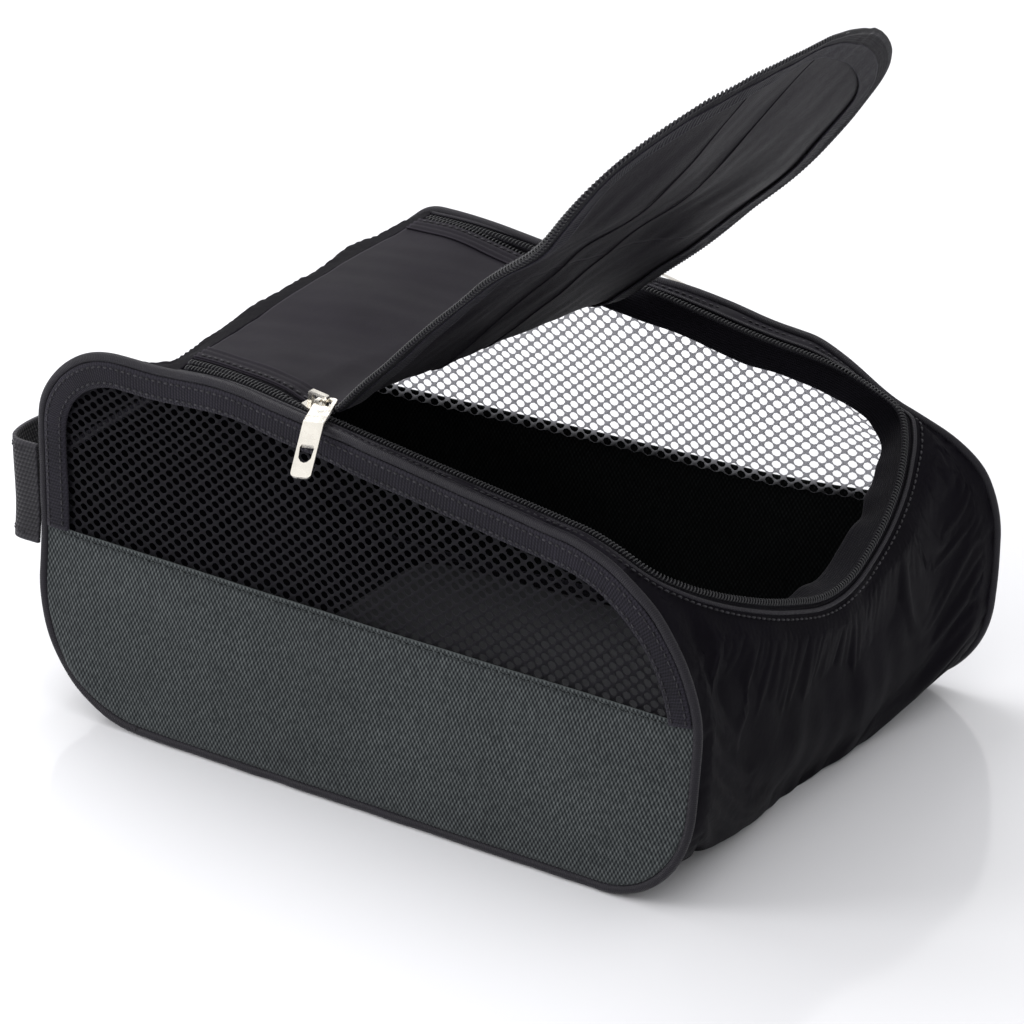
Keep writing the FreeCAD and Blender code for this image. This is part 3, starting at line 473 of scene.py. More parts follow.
def cloth(name, dark, light, pu, pv, relief=0.25, rough=0.8, sheen=0.3, spec=0.25, patch=0.25, fleck=0.6, power=1.0,
          wear=0.5, coarse=28.0, creases=0.0, sway=0.55, inner=0.0, under=0.0):
    """Woven cloth: thread lattice, uneven yarn, slow tone changes, worn edges; with inner or under, painted shade on
    inside-facing or downward-facing faces.
    """
    k = Nodes(name)
    tc = k.n("ShaderNodeTexCoord")
    sep = k.n("ShaderNodeSeparateXYZ")
    k.put(sep.inputs[0], tc.outputs["UV"])
    big = k.noise(tc.outputs["Object"], coarse, 3.0)
    wob = k.math("MULTIPLY", k.math("SUBTRACT", k.noise(tc.outputs["Object"], 90.0, 1.0), 0.5), sway)
    u = k.math("ADD", sep.outputs[0], wob)
    v = k.math("ADD", sep.outputs[1], wob)
    su = k.math("SINE", k.math("MULTIPLY", u, 2 * math.pi / pu))
    sv = k.math("SINE", k.math("MULTIPLY", v, 2 * math.pi / pv))
    lat = k.math("MULTIPLY_ADD", k.math("MULTIPLY", su, sv), 0.5, 0.5)
    yarn = k.noise(tc.outputs["Object"], 420.0, 2.0)
    lat = k.math("POWER", lat, power)
    tone = k.math("MULTIPLY", lat, k.ranged(yarn, 0.3, 0.75, 1.0 - fleck, 1.0 + fleck), clamp=True)
    col = k.mix(tone, rgba(dark), rgba(light))
    shade = k.ranged(big, 0.3, 0.7, 1.0 - patch, 1.0 + patch)
    sc = k.n("ShaderNodeVectorMath", operation="SCALE")
    k.put(sc.inputs[0], col)
    k.put(sc.inputs["Scale"], shade)
    geo = k.n("ShaderNodeNewGeometry")
    edge = k.ranged(geo.outputs["Pointiness"], 0.52, 0.62, 0.0, wear)
    wear_and_shade = k.mix(edge, sc.outputs[0], rgba([min(1, c * 2.2 + 0.012) for c in light]))
    # painted shade: with inner, faces turned toward the bag's inside, and with under, faces turned downwards, get a
    # darker colour and less sheen in place of the shade that falls there
    if inner or under:
        pp, nq = k.n("ShaderNodeSeparateXYZ"), k.n("ShaderNodeSeparateXYZ")
        k.put(pp.inputs[0], tc.outputs["Object"])
        k.put(nq.inputs[0], tc.outputs["Normal"])
        if inner:
            back = k.ranged(k.math("MULTIPLY", nq.outputs[1], k.math("SIGN", pp.outputs[1])), -0.1, 0.1, 1.0 - inner, 1.0)
        else:
            back = k.ranged(nq.outputs[2], -0.25, 0.25, 1.0 - under, 1.0)
        dim = k.n("ShaderNodeVectorMath", operation="SCALE")
        k.put(dim.inputs[0], wear_and_shade)
        k.put(dim.inputs["Scale"], back)
        wear_and_shade = dim.outputs[0]
        k.put(k.b.inputs["Sheen Weight"], k.math("MULTIPLY", back, sheen))
    k.put(k.b.inputs["Base Color"], wear_and_shade)
    k.put(k.b.inputs["Roughness"], k.ranged(k.math("ADD", big, k.math("MULTIPLY", yarn, 0.5)), 0.4, 1.1, rough - 0.08, rough + 0.1))
    k.b.inputs["Specular IOR Level"].default_value = spec
    if not (inner or under):
        k.b.inputs["Sheen Weight"].default_value = sheen
    k.b.inputs["Sheen Roughness"].default_value = 0.45
    k.put(k.b.inputs["Sheen Tint"], rgba([0.55 + 0.45 * c for c in light]))
    nrm = None
    if creases:
        cr = k.noise(tc.outputs["Object"], 55.0, 4.0, 0.6)
        nrm = k.bump(cr, 0.0016, creases)
    h = k.math("ADD", lat, k.math("MULTIPLY", yarn, 0.5))
    k.put(k.b.inputs["Normal"], k.bump(h, relief * MM, 1.0, nrm))
    return k.m


def ribbed(name, dark, light, pitch, relief=0.3, rough=0.7, along=False, sheen=0.3, spec=0.3):
    """Tape and webbing: fine ribs across, with a twill of yarns between."""
    k = Nodes(name)
    tc = k.n("ShaderNodeTexCoord")
    sep = k.n("ShaderNodeSeparateXYZ")
    k.put(sep.inputs[0], tc.outputs["UV"])
    a, b = (1, 0) if along else (0, 1)
    rib = k.math("MULTIPLY_ADD", k.math("SINE", k.math("MULTIPLY", sep.outputs[a], 2 * math.pi / pitch)), 0.5, 0.5)
    diag = k.math("ADD", k.math("MULTIPLY", sep.outputs[a], 2 * math.pi / pitch * 0.5),
                  k.math("MULTIPLY", sep.outputs[b], 2 * math.pi / (pitch * 0.9)))
    tw = k.math("MULTIPLY_ADD", k.math("SINE", diag), 0.5, 0.5)
    yarn = k.noise(tc.outputs["Object"], 500.0, 2.0)
    big = k.noise(tc.outputs["Object"], 30.0, 2.0)
    tone = k.math("MULTIPLY", k.math("MULTIPLY_ADD", rib, 0.6, k.math("MULTIPLY", tw, 0.4)),
                  k.ranged(yarn, 0.3, 0.75, 0.5, 1.3), clamp=True)
    col = k.mix(tone, rgba(dark), rgba(light))
    sc = k.n("ShaderNodeVectorMath", operation="SCALE")
    k.put(sc.inputs[0], col)
    k.put(sc.inputs["Scale"], k.ranged(big, 0.3, 0.7, 0.8, 1.2))
    geo = k.n("ShaderNodeNewGeometry")
    edge = k.ranged(geo.outputs["Pointiness"], 0.52, 0.62, 0.0, 0.5)
    k.put(k.b.inputs["Base Color"], k.mix(edge, sc.outputs[0], rgba([min(1, c * 2 + 0.012) for c in light])))
    k.put(k.b.inputs["Roughness"], k.ranged(yarn, 0.3, 0.7, rough - 0.1, rough + 0.1))
    k.b.inputs["Specular IOR Level"].default_value = spec
    k.b.inputs["Sheen Weight"].default_value = sheen
    k.b.inputs["Sheen Roughness"].default_value = 0.4
    k.put(k.b.inputs["Normal"], k.bump(k.math("ADD", rib, k.math("MULTIPLY", tw, 0.5)), relief * MM, 1.0))
    return k.m


def metal(name, colour, rough):
    k = Nodes(name)
    tc = k.n("ShaderNodeTexCoord")
    n1 = k.noise(tc.outputs["Object"], 260.0, 4.0, 0.6)
    n2 = k.noise(tc.outputs["Object"], 1400.0, 2.0, 0.5)
    geo = k.n("ShaderNodeNewGeometry")
    edge = k.ranged(geo.outputs["Pointiness"], 0.5, 0.6, 0.0, 0.5)
    base = k.mix(n1, rgba([c * 0.86 for c in colour]), rgba(colour))
    k.put(k.b.inputs["Base Color"], k.mix(edge, base, rgba([min(1, c * 1.12) for c in colour])))
    k.b.inputs["Metallic"].default_value = 1.0
    k.put(k.b.inputs["Roughness"], k.ranged(n1, 0.3, 0.7, rough - 0.06, rough + 0.1))
    k.put(k.b.inputs["Normal"], k.bump(k.math("ADD", n1, k.math("MULTIPLY", n2, 0.4)), 0.00004, 0.7))
    return k.m


def net(name, through):
    """Knitted mesh yarn: black by front light, grey where light comes through."""
    k = Nodes(name)
    tc = k.n("ShaderNodeTexCoord")
    yarn = k.noise(tc.outputs["Object"], 900.0, 3.0)
    col = k.mix(yarn, rgba((0.0022, 0.0020, 0.0034)), rgba((0.0080, 0.0074, 0.0105)))
    k.put(k.b.inputs["Base Color"], col)
    k.put(k.b.inputs["Roughness"], k.ranged(yarn, 0.3, 0.7, 0.55, 0.8))
    k.b.inputs["Specular IOR Level"].default_value = 0.1
    k.b.inputs["Sheen Weight"].default_value = 0.01
    k.put(k.b.inputs["Normal"], k.bump(yarn, 0.00015, 0.8))
    tr = k.n("ShaderNodeBsdfTranslucent")
    tr.inputs[0].default_value = (0.8, 0.8, 0.83, 1)
    mx = k.n("ShaderNodeMixShader")
    mx.inputs[0].default_value = through
    k.t.links.new(k.b.outputs[0], mx.inputs[1])
    k.t.links.new(tr.outputs[0], mx.inputs[2])
    k.t.links.new(mx.outputs[0], k.out.inputs[0])
    return k.m


M_NYLON = cloth("black_nylon", (0.0010, 0.0007, 0.0018), (0.0036, 0.0027, 0.0054), 0.62, 0.62, relief=0.05, rough=0.62,
                sheen=0.008, spec=0.06, patch=0.22, fleck=0.35, coarse=22.0, creases=0.4)
# a lighter copy of the black nylon: painted light on the top-facing strips beside the zip
M_STRIP_LIT = cloth("strip_nylon_painted_lit", (0.0030, 0.0024, 0.0046), (0.0094, 0.0076, 0.0130), 0.62, 0.62, relief=0.06, rough=0.6,
                sheen=0.04, spec=0.11, patch=0.2, fleck=0.35, coarse=22.0, creases=0.3)
# a lighter copy of the black nylon: painted light on the top-facing flap; under=0.3 paints shade on its downward faces
M_FLAP_PAINTED_LIGHT = cloth("flap_nylon_painted_light", (0.0058, 0.0046, 0.0076), (0.0132, 0.0108, 0.0165), 0.62, 0.62, relief=0.06, rough=0.6,
               sheen=0.05, spec=0.11, patch=0.16, fleck=0.35, coarse=18.0, creases=0.25, under=0.3)
# inner=0.86 paints shade: the woven panels' inside faces are darkened and lose sheen
M_WOVEN = cloth("woven_grey", (0.0065, 0.0085, 0.0100), (0.104, 0.114, 0.116), 1.92, 3.2, relief=0.3, rough=0.85,
                sheen=0.04, spec=0.08, patch=0.12, fleck=0.34, power=1.6, wear=0.15, coarse=12.0, sway=0.1, inner=0.86)
M_BIND = ribbed("binding_tape", (0.0045, 0.0040, 0.0064), (0.0190, 0.0172, 0.0250), 1.5, relief=0.18, rough=0.7, sheen=0.05,
                spec=0.12)
M_PIPE = ribbed("piping_cord", (0.0028, 0.0024, 0.0042), (0.0125, 0.0108, 0.0165), 0.9, relief=0.1, rough=0.5, sheen=0.04,
                spec=0.22)
M_TAPE = ribbed("zip_tape_cloth", (0.0024, 0.0021, 0.0036), (0.0105, 0.0094, 0.0138), 1.3, relief=0.18, rough=0.72, along=True,
                sheen=0.03, spec=0.1)
M_WEB = ribbed("webbing_cloth", (0.0060, 0.0056, 0.0074), (0.0290, 0.0275, 0.0330), 1.9, relief=0.45, rough=0.66, along=True,
               sheen=0.1, spec=0.18)
M_THREAD = ribbed("sewing_thread", (0.006, 0.0055, 0.0075), (0.026, 0.024, 0.031), 0.5, relief=0.06, rough=0.5, sheen=0.06,
                  spec=0.25)
M_COIL = metal("coil_nylon", (0.02, 0.02, 0.023), 0.4)
M_COIL.node_tree.nodes["Principled BSDF"].inputs["Metallic"].default_value = 0.0
M_NET = net("air_mesh", 0.16)
M_NET_FAR = net("air_mesh_far", 0.62)
M_NICKEL = metal("nickel_plate", (0.70, 0.67, 0.61), 0.24)
M_BOARD = cloth("base_board_sheet", (0.018, 0.018, 0.020), (0.034, 0.034, 0.038), 2.4, 2.4, relief=0.05, rough=0.7,
                sheen=0.05, spec=0.3, patch=0.15, fleck=0.3)

BAG = []          # pieces that ride on the bag body


def keep(o, slot, *nodes, body="bag"):
    if nodes:
        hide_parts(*nodes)
    BAG.append((o, body))
    return o


def join(name, parts, material):
    v, f, u = merge(parts)
    return make(name, v, f, material, u)


# ------------------------------------------------------------- side panels
def side_pt(x, z, v, side):
    """Point at x, z on a side, v inwards from its outer face."""
    x, z = np.asarray(x, float), np.asarray(z, float)
    y = W(x) - v
    P = np.stack([x + 0 * z, (-y if side == "near" else y) + 0 * z, z + 0 * x], -1)
    return soft_side(P, side)


def side_normal(C, side):
    sgn = -1.0 if side == "near" else 1.0
    n = np.array([-math.tan(math.radians(2.694)), sgn, 0.0])
    return np.tile(unit(n), (len(C), 1))


def band_run(track, z_from):
    """s along the outline from the heel side at z_from, over the top."""
    a = track.s_toe(z_from)
    b = track.s_heel(z_from)
    return a, b


for side in ("near", "far"):
    sg = 1 if side == "near" else 2
    slump = side == "far"
    TO = Track(0.0, slump)
    # woven lower panel
    tr = Track(4.1, slump)
    a, b = tr.s_toe(80.0), tr.s_heel(80.0)
    low = tr.at(np.linspace(b, a + tr.length, 220))[0]          # heel, base, toe
    up = np.stack([np.linspace(low[0, 0], low[-1, 0], 220), np.full(220, 80.0)], -1)
    r = np.concatenate([np.linspace(0, 0.9, 26), np.linspace(0.92, 1.0, 6)])
    XZ = low[:, None] * (1 - r)[None, :, None] + up[:, None] * r[None, :, None]
    x, z = XZ[..., 0], XZ[..., 1]
    d = np.minimum(z / 22.0, 1) * np.minimum((80.0 - z) / 10.0 + 0.25, 1)
    edge = np.minimum(np.minimum(x + 165, 163 - x) / 18.0, 1).clip(0, 1)
    puff = (1.2 + 0.9 * waves(np.stack([x, z * 1.4], -1), 62.0, 11 * sg)) * d.clip(0, 1) * edge
    hem = 0.45 * ramp(z, 78.2, 79.2)
    P = side_pt(x, z, 2.1 - puff - hem, side)
    o = sheet(side + "_lower_cloth", P, M_WOVEN, np.stack([x, z], -1), 1.0)
    keep(o, "woven_lower", side + "_lower_panel")

    # mesh window: a real lattice of knitted strands
    tin = Track(6.5, slump)
    ax_, az_ = 3.33, 2.78
    ii, jj = np.meshgrid(np.arange(-60, 61), np.arange(-60, 61), indexing="ij")
    vx = (ii + jj) * ax_ / 1.0 * 0.5 * 1.0
    vz = (ii - jj) * az_ * 0.5
    # vertices at half steps give holes spaced at (3.33, 2.78)
    vx, vz = (ii + jj) * ax_, (ii - jj) * az_
    vz = vz + 100.0
    zt_hi = np.interp(vx, tin.P[(tin.P[:, 1] > 60)][:, 0][np.argsort(tin.P[tin.P[:, 1] > 60][:, 0])],
                      tin.P[(tin.P[:, 1] > 60)][:, 1][np.argsort(tin.P[tin.P[:, 1] > 60][:, 0])])
    ok = (vx > -162) & (vx < 160) & (vz > 74) & (vz < zt_hi)
    ids = -np.ones(vx.shape, int)
    ids[ok] = np.arange(ok.sum())
    X, Z = vx[ok], vz[ok]
    jit = waves(np.stack([X, Z], -1), 14.0, 5 + sg)
    X2 = X + 0.22 * jit
    Z2 = Z + 0.22 * waves(np.stack([X, Z], -1), 11.0, 9 + sg)
    sag = 1.0 * waves(np.stack([X, Z], -1), 70.0, 21 + sg)
    Pm = side_pt(X2, Z2, 3.2 - 0.8 * sag * np.minimum((Z - 74) / 12, 1), side)
    q = np.stack([ids[:-1, :-1], ids[1:, :-1], ids[1:, 1:], ids[:-1, 1:]], -1).reshape(-1, 4)
    q = q[(q >= 0).all(1)]
    o = make(side + "_air_mesh", Pm, q.tolist(), M_NET_FAR if slump else M_NET)
    m = o.modifiers.new("strands", "WIREFRAME")
    m.thickness = (0.42 if slump else 1.05) * MM
    m.use_even_offset = False
    m.use_boundary = True
    m = o.modifiers.new("round", "SUBSURF")
    m.levels = m.render_levels = 1
    keep(o, "mesh", side + "_mesh_window")

    # stitched binding band round the window
    run0 = np.linspace(TO.s_toe(79.6), TO.s_heel(79.6), 420)
    ins = np.array([4.2, 4.6, 6.2, 8.5, 11.0, 13.4, 14.7, 15.2])
    prof = np.array([1.35, 0.75, 0.45, 0.35, 0.4, 0.5, 0.9, 1.6])
    pts, nn = TO.at(run0)
    slim = 1.0 - (0.5 * np.exp(-((pts[:, 0] - 132) / 24.0) ** 2) * (pts[:, 1] > 92) if slump else 0.0)
    wid = 4.2 + (ins[None, :] - 4.2) * (slim[:, None] if slump else 1.0)
    B = pts[:, None] - nn[:, None] * wid[..., None]
    sway = 0.35 * waves(np.stack([run0, 0 * run0], -1), 40.0, 31 + sg)
    B = B - nn[:, None] * (sway[:, None, None] * np.linspace(0, 1, len(ins))[None, :, None])
    P = side_pt(B[..., 0], B[..., 1], prof[None, :] + 0 * B[..., 0], side)
    o = sheet(side + "_binding_tape", P, M_BIND, np.stack(np.broadcast_arrays(run0[:, None], ins[None, :]), -1), 0.8)
    keep(o, "binding", side + "_window_binding")
    parts = []
    for off in (6.0, 12.9):
        Bc = pts - nn * (4.2 + (off - 4.2) * (slim[:, None] if slump else 1.0))
        C = side_pt(Bc[:, 0], Bc[:, 1], 0.45 + 0 * run0, side)
        parts.append(stitch_geo(C, side_normal(C, side), lift=0.45))
    keep(join(side + "_binding_stitches", parts, M_THREAD), "binding")
    # one run of stitches under the sill
    xs = np.linspace(-158, 156, 260)
    C = side_pt(xs, 0 * xs + 77.6, 1.35 + 0 * xs, side)
    pf = (1.2 + 0.9 * waves(np.stack([xs, 0 * xs + 77.6 * 1.4], -1), 62.0, 11 * sg)) * 0.49
    C[:, 1] += (-1 if side == "near" else 1) * pf * np.minimum(np.minimum(xs + 165, 163 - xs) / 18.0, 1)
    keep(join(side + "_sill_stitches", [stitch_geo(C, side_normal(C, side), lift=0.2)], M_WOVEN), "woven_lower")

    # corded piping round the whole side
    trp = Track(2.1, slump)
    sp = np.linspace(0, trp.length, 700, endpoint=False)
    pc, pn = trp.at(sp)
    C = side_pt(pc[:, 0], pc[:, 1], 2.3 + 0.25 * waves(np.stack([sp, 0 * sp], -1), 30.0, 41 + sg), side)
    C[:, 2] = np.maximum(C[:, 2], 2.05)
    Nn = np.stack([pn[:, 0], 0 * sp, pn[:, 1]], -1)
    t_ = unit(np.roll(C, -1, 0) - np.roll(C, 1, 0))
    L_ = unit(np.cross(t_, Nn))
    v, f, u = tube_geo(C, L_, unit(np.cross(L_, t_)), 2.05, 2.0, 14, closed=True)
    keep(make(side + "_piping_cord", v, f, M_PIPE, u), "piping", side + "_piping")

    # tape over the seam allowance, inside
    trs = Track(6.6, slumped=True)
    ss = np.linspace(0, trs.length, 420, endpoint=False)
    pc, pn = trs.at(ss)
    yy = W(pc[:, 0]) - 6.0
    C = soft_side(np.stack([pc[:, 0], -yy if side == "near" else yy, np.maximum(pc[:, 1], 3.4)], -1), side)
    C[:, 1] += 0.4 * waves(np.stack([ss, 0 * ss], -1), 24.0, 47 + sg)
    Nn = np.stack([pn[:, 0], 0 * ss, pn[:, 1]], -1)
    t_ = unit(np.roll(C, -1, 0) - np.roll(C, 1, 0))
    L_ = unit(np.cross(t_, Nn))
    v, f, u = tube_geo(C, L_, unit(np.cross(L_, t_)), 1.15, 1.9, 10, closed=True)
    keep(make(side + "_seam_tape", v, f, M_BIND, u), "binding", side + "_seam_binding")

# ------------------------------------------------------- zip line in (s, y)
ZS = float(TM.s_top(-97.0))


def near_y(x):
    return -(92.0 + 5.5 * (np.asarray(x, float) + 97.0) / 212.0)


def far_y(x):
    return 84.0 + 13.5 * (np.asarray(x, float) + 97.0) / 212.0


def sx(x):
    """s of a point on the top at x, counted from the heel seam to the toe."""
    return ZS - TM.s_top(x)


toe_yz = [(96.9, 135.6), (94.2, 131.2), (89.0, 127.0), (80.0, 121.4), (65.0, 114.0), (45.0, 105.8),
          (26.0, 99.6), (13.0, 96.2), (0.0, 95.0)]
ctl = [(float(sx(x)), float(near_y(x))) for x in np.linspace(-97, 115, 23)]
ctl += [(ZS - float(TM.s_toe(z)), -y) for (y, z) in toe_yz]
ctl += [(ZS - float(TM.s_toe(z)), y) for (y, z) in reversed(toe_yz[:-1])]
ctl += [(float(sx(x)), float(far_y(x))) for x in np.linspace(115, -97, 23)]
ZIP = resample(catmull(ctl), step=1.0)          # (s, y), near heel -> toe -> far heel


def offset2(C, off):
    t = unit(np.gradient(C, axis=0))
    out = np.stack([t[:, 1], -t[:, 0]], -1)
    return C + out * np.asarray(off)[..., None] if np.ndim(off) else C + out * off


def skin(sy, h):
    """(s from the heel seam, y) and height above the cloth -> 3D, shut."""
    sy = np.asarray(sy, float)
    return on_skin(ZS - sy[..., 0], sy[..., 1], h + 0 * sy[..., 0])


def skin_n(sy):
    _, n = TM.at(ZS - np.asarray(sy)[..., 0])
    return np.stack([n[..., 0], 0 * n[..., 0], n[..., 1]], -1)


def s_of(x):
    return float(sx(x))


# --------------------------------------------------------- bag shell cloth
def fin(s_track_frac):
    return s_track_frac


# heel gusset: slumped between its seams, standing up to the side panels' edge
n_s, n_y = 210, 90
sa, sb = TM.s_top(-96.6), TM.length + TM.s_bottom(-101.0) - 0.0
sS = np.linspace(TS.s_top(-96.6), TS.length + TS.s_bottom(-101.0), n_s)
sM = np.linspace(sa, sb, n_s)
# line both outlines up at the same heights
pS, nS = TS.at(sS)
pM, nM = TM.at(sM)
tt = np.linspace(-1, 1, n_y)
tt = np.sign(tt) * (1 - (1 - np.abs(tt)) ** 1.35)
edge_w = np.exp(-((1 - np.abs(tt)) * 100.0 / 9.0) ** 1.5) * (tt < 0)
X = pS[:, None, 0] * (1 - edge_w) + pM[:, None, 0] * edge_w
Z = pS[:, None, 1] * (1 - edge_w) + pM[:, None, 1] * edge_w
Nx = nS[:, None, 0] + 0 * edge_w
Nz = nS[:, None, 1] + 0 * edge_w
Y = tt[None, :] * (W(X) - 4.4)
S_ = (sS - sS[0])[:, None] + 0 * Y
dist = (1 - np.abs(tt))[None, :] * 100.0
pucker = 0.55 * np.sin(S_ / 2.0 + 2 * waves(np.stack([S_, Y], -1), 30, 3)) * np.exp(-dist / 6.0)
rumple = 1.5 * waves(np.stack([S_ * 1.3, Y], -1), 60.0, 17) + 0.5 * waves(np.stack([S_, Y], -1), 22.0, 18)
belly = 2.0 * np.sin(np.clip(S_ / S_[-1, 0], 0, 1) * math.pi) + 3.3 * np.exp(-((S_ - 36) / 30.0) ** 2) * (
    1.0 - 0.2 * ramp(Y, 10, 80))
hold = np.minimum(dist / 10.0, 1) * np.minimum(S_ / 10.0, 1) * np.minimum((S_[-1, 0] - S_) / 30.0, 1)
H = (rumple + belly) * hold + pucker * np.minimum(S_ / 8.0, 1)
P = np.stack([X + Nx * H, Y, np.maximum(Z + Nz * H, 0.9)], -1)
o = sheet("heel_shell", soft(P), M_NYLON, np.stack([S_, Y], -1), 0.9)
pinned = np.maximum(np.exp(-(dist / 9.0) ** 2), np.maximum(np.exp(-(S_ / 12.0) ** 2), np.exp(-((S_[-1, 0] - S_) / 14.0) ** 2)))
settle(o, pinned)
keep(o, "nylon", "heel_gusset")

# toe gusset: ruled between the base seam and the rim of the opening
RIM = offset2(ZIP, 5.2)
xr = TM.at(ZS - RIM[:, 0])[0][:, 0]
rim = RIM[(RIM[:, 0] > s_of(125.6))]
s_rim0 = s_of(125.6)
yl = -(float(W(125.6)) - 4.4)
top = np.vstack([[[s_rim0, yl]], [[s_rim0, rim[0, 1]]], rim, [[s_rim0, rim[-1, 1]]], [[s_rim0, -yl]]])
top = resample(top, n=241)
bot = np.stack([np.full(241, ZS - float(TM.s_bottom(116.5))), np.linspace(-1, 1, 241) * (float(W(118)) - 4.4)], -1)
r = np.concatenate([np.linspace(0, 0.9, 80), np.linspace(0.905, 1.0, 22)])
SY = bot[:, None] * (1 - r)[None, :, None] + top[:, None] * r[None, :, None]
ss, yy = SY[..., 0], SY[..., 1]
xx = TM.at(ZS - ss)[0][..., 0]
wr = np.where(np.abs(top[:, 1:2]) > 0, 1.0, 1.0)
lim = W(xx) - 4.4
rows_edge = (np.abs(np.linspace(-1, 1, 241)) ** 8)[:, None]
yy = yy * (1 + rows_edge * (lim / np.maximum(np.abs(yy[[0, -1]]).min(0)[None, :], 1) - 1))
yy = np.clip(yy, -lim, lim)
dist = np.minimum(lim - np.abs(yy), 60)
rimd = (1 - r)[None, :] * 150.0
rad = ss * 1.0
gath = 0.32 * np.sin(rad / 3.1 + 2.5 * waves(SY, 26, 5)) * np.exp(-dist / 7.0)
big = 1.3 * waves(np.stack([ss, yy * 1.0], -1), 75.0, 23) + 0.45 * waves(np.stack([ss * 0.6, yy * 1.4], -1), 30.0, 29)
sagd = 2.5 * np.sin(r[None, :] * math.pi) * (1 - (yy / lim) ** 2)
fold1 = -2.6 * np.exp(-((yy + 88 + 0.12 * (ss - 230)) / 4.0) ** 2) * ramp(r[None, :], 0.25, 0.6) * (1 - ramp(r[None, :], 0.86, 0.97))
hold = np.minimum(dist / 9.0, 1) * np.minimum(r[None, :] / 0.12, 1) * np.minimum((1 - r)[None, :] / 0.06, 1)
H = (big + sagd + fold1) * hold + gath * np.minimum(r[None, :] / 0.1, 1)
P = on_skin(ZS - ss, yy, H)
P[..., 2] = np.maximum(P[..., 2], 0.9)
o = sheet("toe_shell", soft(P), M_NYLON, np.stack([ss, yy], -1), 0.9)
pinned = np.maximum(np.exp(-(dist / 9.0) ** 2), np.maximum(np.exp(-(r[None, :] / 0.06) ** 2), np.exp(-((1 - r[None, :]) / 0.09) ** 2)))
settle(o, pinned)
keep(o, "nylon", "toe_gusset")

# base panel
gx, gy = np.meshgrid(np.linspace(-112, 127, 90), np.linspace(-1, 1, 70), indexing="ij")
by = gy * (W(gx) - 4.6)
bz = 0.85 + 0.5 * np.abs(waves(np.stack([gx, by], -1), 45.0, 37)) * (1 - np.abs(gy) ** 6)
o = sheet("base_shell", soft(np.stack([gx, by, bz], -1)), M_NYLON, np.stack([gx, by], -1), 1.0)
keep(o, "nylon", "base_panel")

# top strips beside the zip
for side in ("near", "far"):
    sg = -1.0 if side == "near" else 1.0
    fy = near_y if side == "near" else far_y
    xs = np.linspace(-96.4, 125.6, 260)
    c = np.linspace(0, 1, 22)
    y_in = np.abs(fy(np.minimum(xs, 115.0))) + 5.2
    # the strip's inner edge follows the rim near its toe end
    rr = RIM[: len(RIM) // 2] if side == "near" else RIM[len(RIM) // 2:][::-1]
    y_in = np.abs(np.interp([s_of(v) for v in xs], rr[:, 0], rr[:, 1]))
    y_out = W(xs) - 4.4
    yy = y_in[:, None] * (1 - c) + y_out[:, None] * c
    ss = np.array([s_of(v) for v in xs])[:, None] + 0 * yy
    h = 0.55 * np.sin(c * math.pi)[None, :] * (1 + 0.8 * waves(np.stack([ss, yy], -1), 40.0, 53)) + 0.35 * waves(
        np.stack([ss, yy], -1), 18.0, 59) * np.sin(c * math.pi)[None, :] + 0.45 * np.exp(-((c - 0.06) / 0.07) ** 2)[None, :]
    P = on_skin(ZS - ss, sg * yy, h)
    o = sheet(side + "_strip_cloth", soft(P), M_STRIP_LIT, np.stack([ss, yy], -1), 0.9)
    keep(o, "nylon", side + "_top_strip")

# rim: turned edge of the cloth with its stitch line, round the whole opening
rimc = resample(offset2(ZIP, 5.6), step=2.0)
C = soft(skin(rimc, 0.35))
Nn = skin_n(rimc)
t_, L_, N_ = frames_on(C, Nn)
v, f, u = tube_geo(C, L_, N_, 0.95, 0.75, 10)
keep(make("rim_welt", v, f, M_PIPE, u), "nylon")
stc = resample(offset2(ZIP, 8.4), step=1.5)
C = soft(skin(stc, 0.95))
keep(join("rim_stitches", [stitch_geo(C, skin_n(stc), lift=0.25)], M_THREAD), "nylon")

# zip tape on the bag side, with the toe's loose facing
c = np.array([0.2, 1.0, 2.0, 3.2, 5.0, 7.0, 9.0])
zc = resample(ZIP, step=1.6)
rowsP, rowsU = [], []
sl = arclen(zc)
for k_, off in enumerate(c):
    sy = offset2(zc, float(off))
    rowsP.append(skin(sy, -0.75 - 0.15 * min(off, 4)))
    rowsU.append(np.stack([sl, np.full(len(sl), off)], -1))
P = np.stack(rowsP, 1)
o = sheet("zip_tape_body", soft(P), M_TAPE, np.stack(rowsU, 1), 0.6)
keep(o, "zip_tape", "zip_tape_bag")

i_a = int(np.argmax(zc[:, 0] > s_of(96.0)))
i_b = len(zc) - int(np.argmax(zc[::-1, 0] > s_of(-72.0)))
toe_part = zc[i_a:i_b]
sl = arclen(toe_part)
ww = np.linspace(0, 1, 12)
endfade = np.minimum(np.minimum(sl, sl[-1] - sl) / 30.0, 1)
base3 = skin(offset2(toe_part, 1.6), -1.3)
nn3 = skin_n(toe_part)
t3 = unit(np.gradient(base3, axis=0))
out3 = unit(np.cross(t3, nn3))
if (out3[len(out3) // 2] @ np.array([1.0, 0, 0])) < 0:
    out3 = -out3
wavy = np.sin(sl / 5.6 + 1.8 * waves(np.stack([sl, 0 * sl], -1), 60, 3)) * 0.7 + 0.7 * waves(np.stack([sl, 0 * sl], -1), 22.0, 8)
side_far = ramp(toe_part[:, 1], 60, 90) * ramp(-toe_part[:, 0], -s_of(120.0), -s_of(80.0))
wide = (15.0 - 3.0 * side_far) * (0.35 + 0.65 * endfade) * (1 + 0.08 * waves(np.stack([sl, 0 * sl], -1), 35, 4))
wavy = wavy * (1 - 0.6 * side_far)
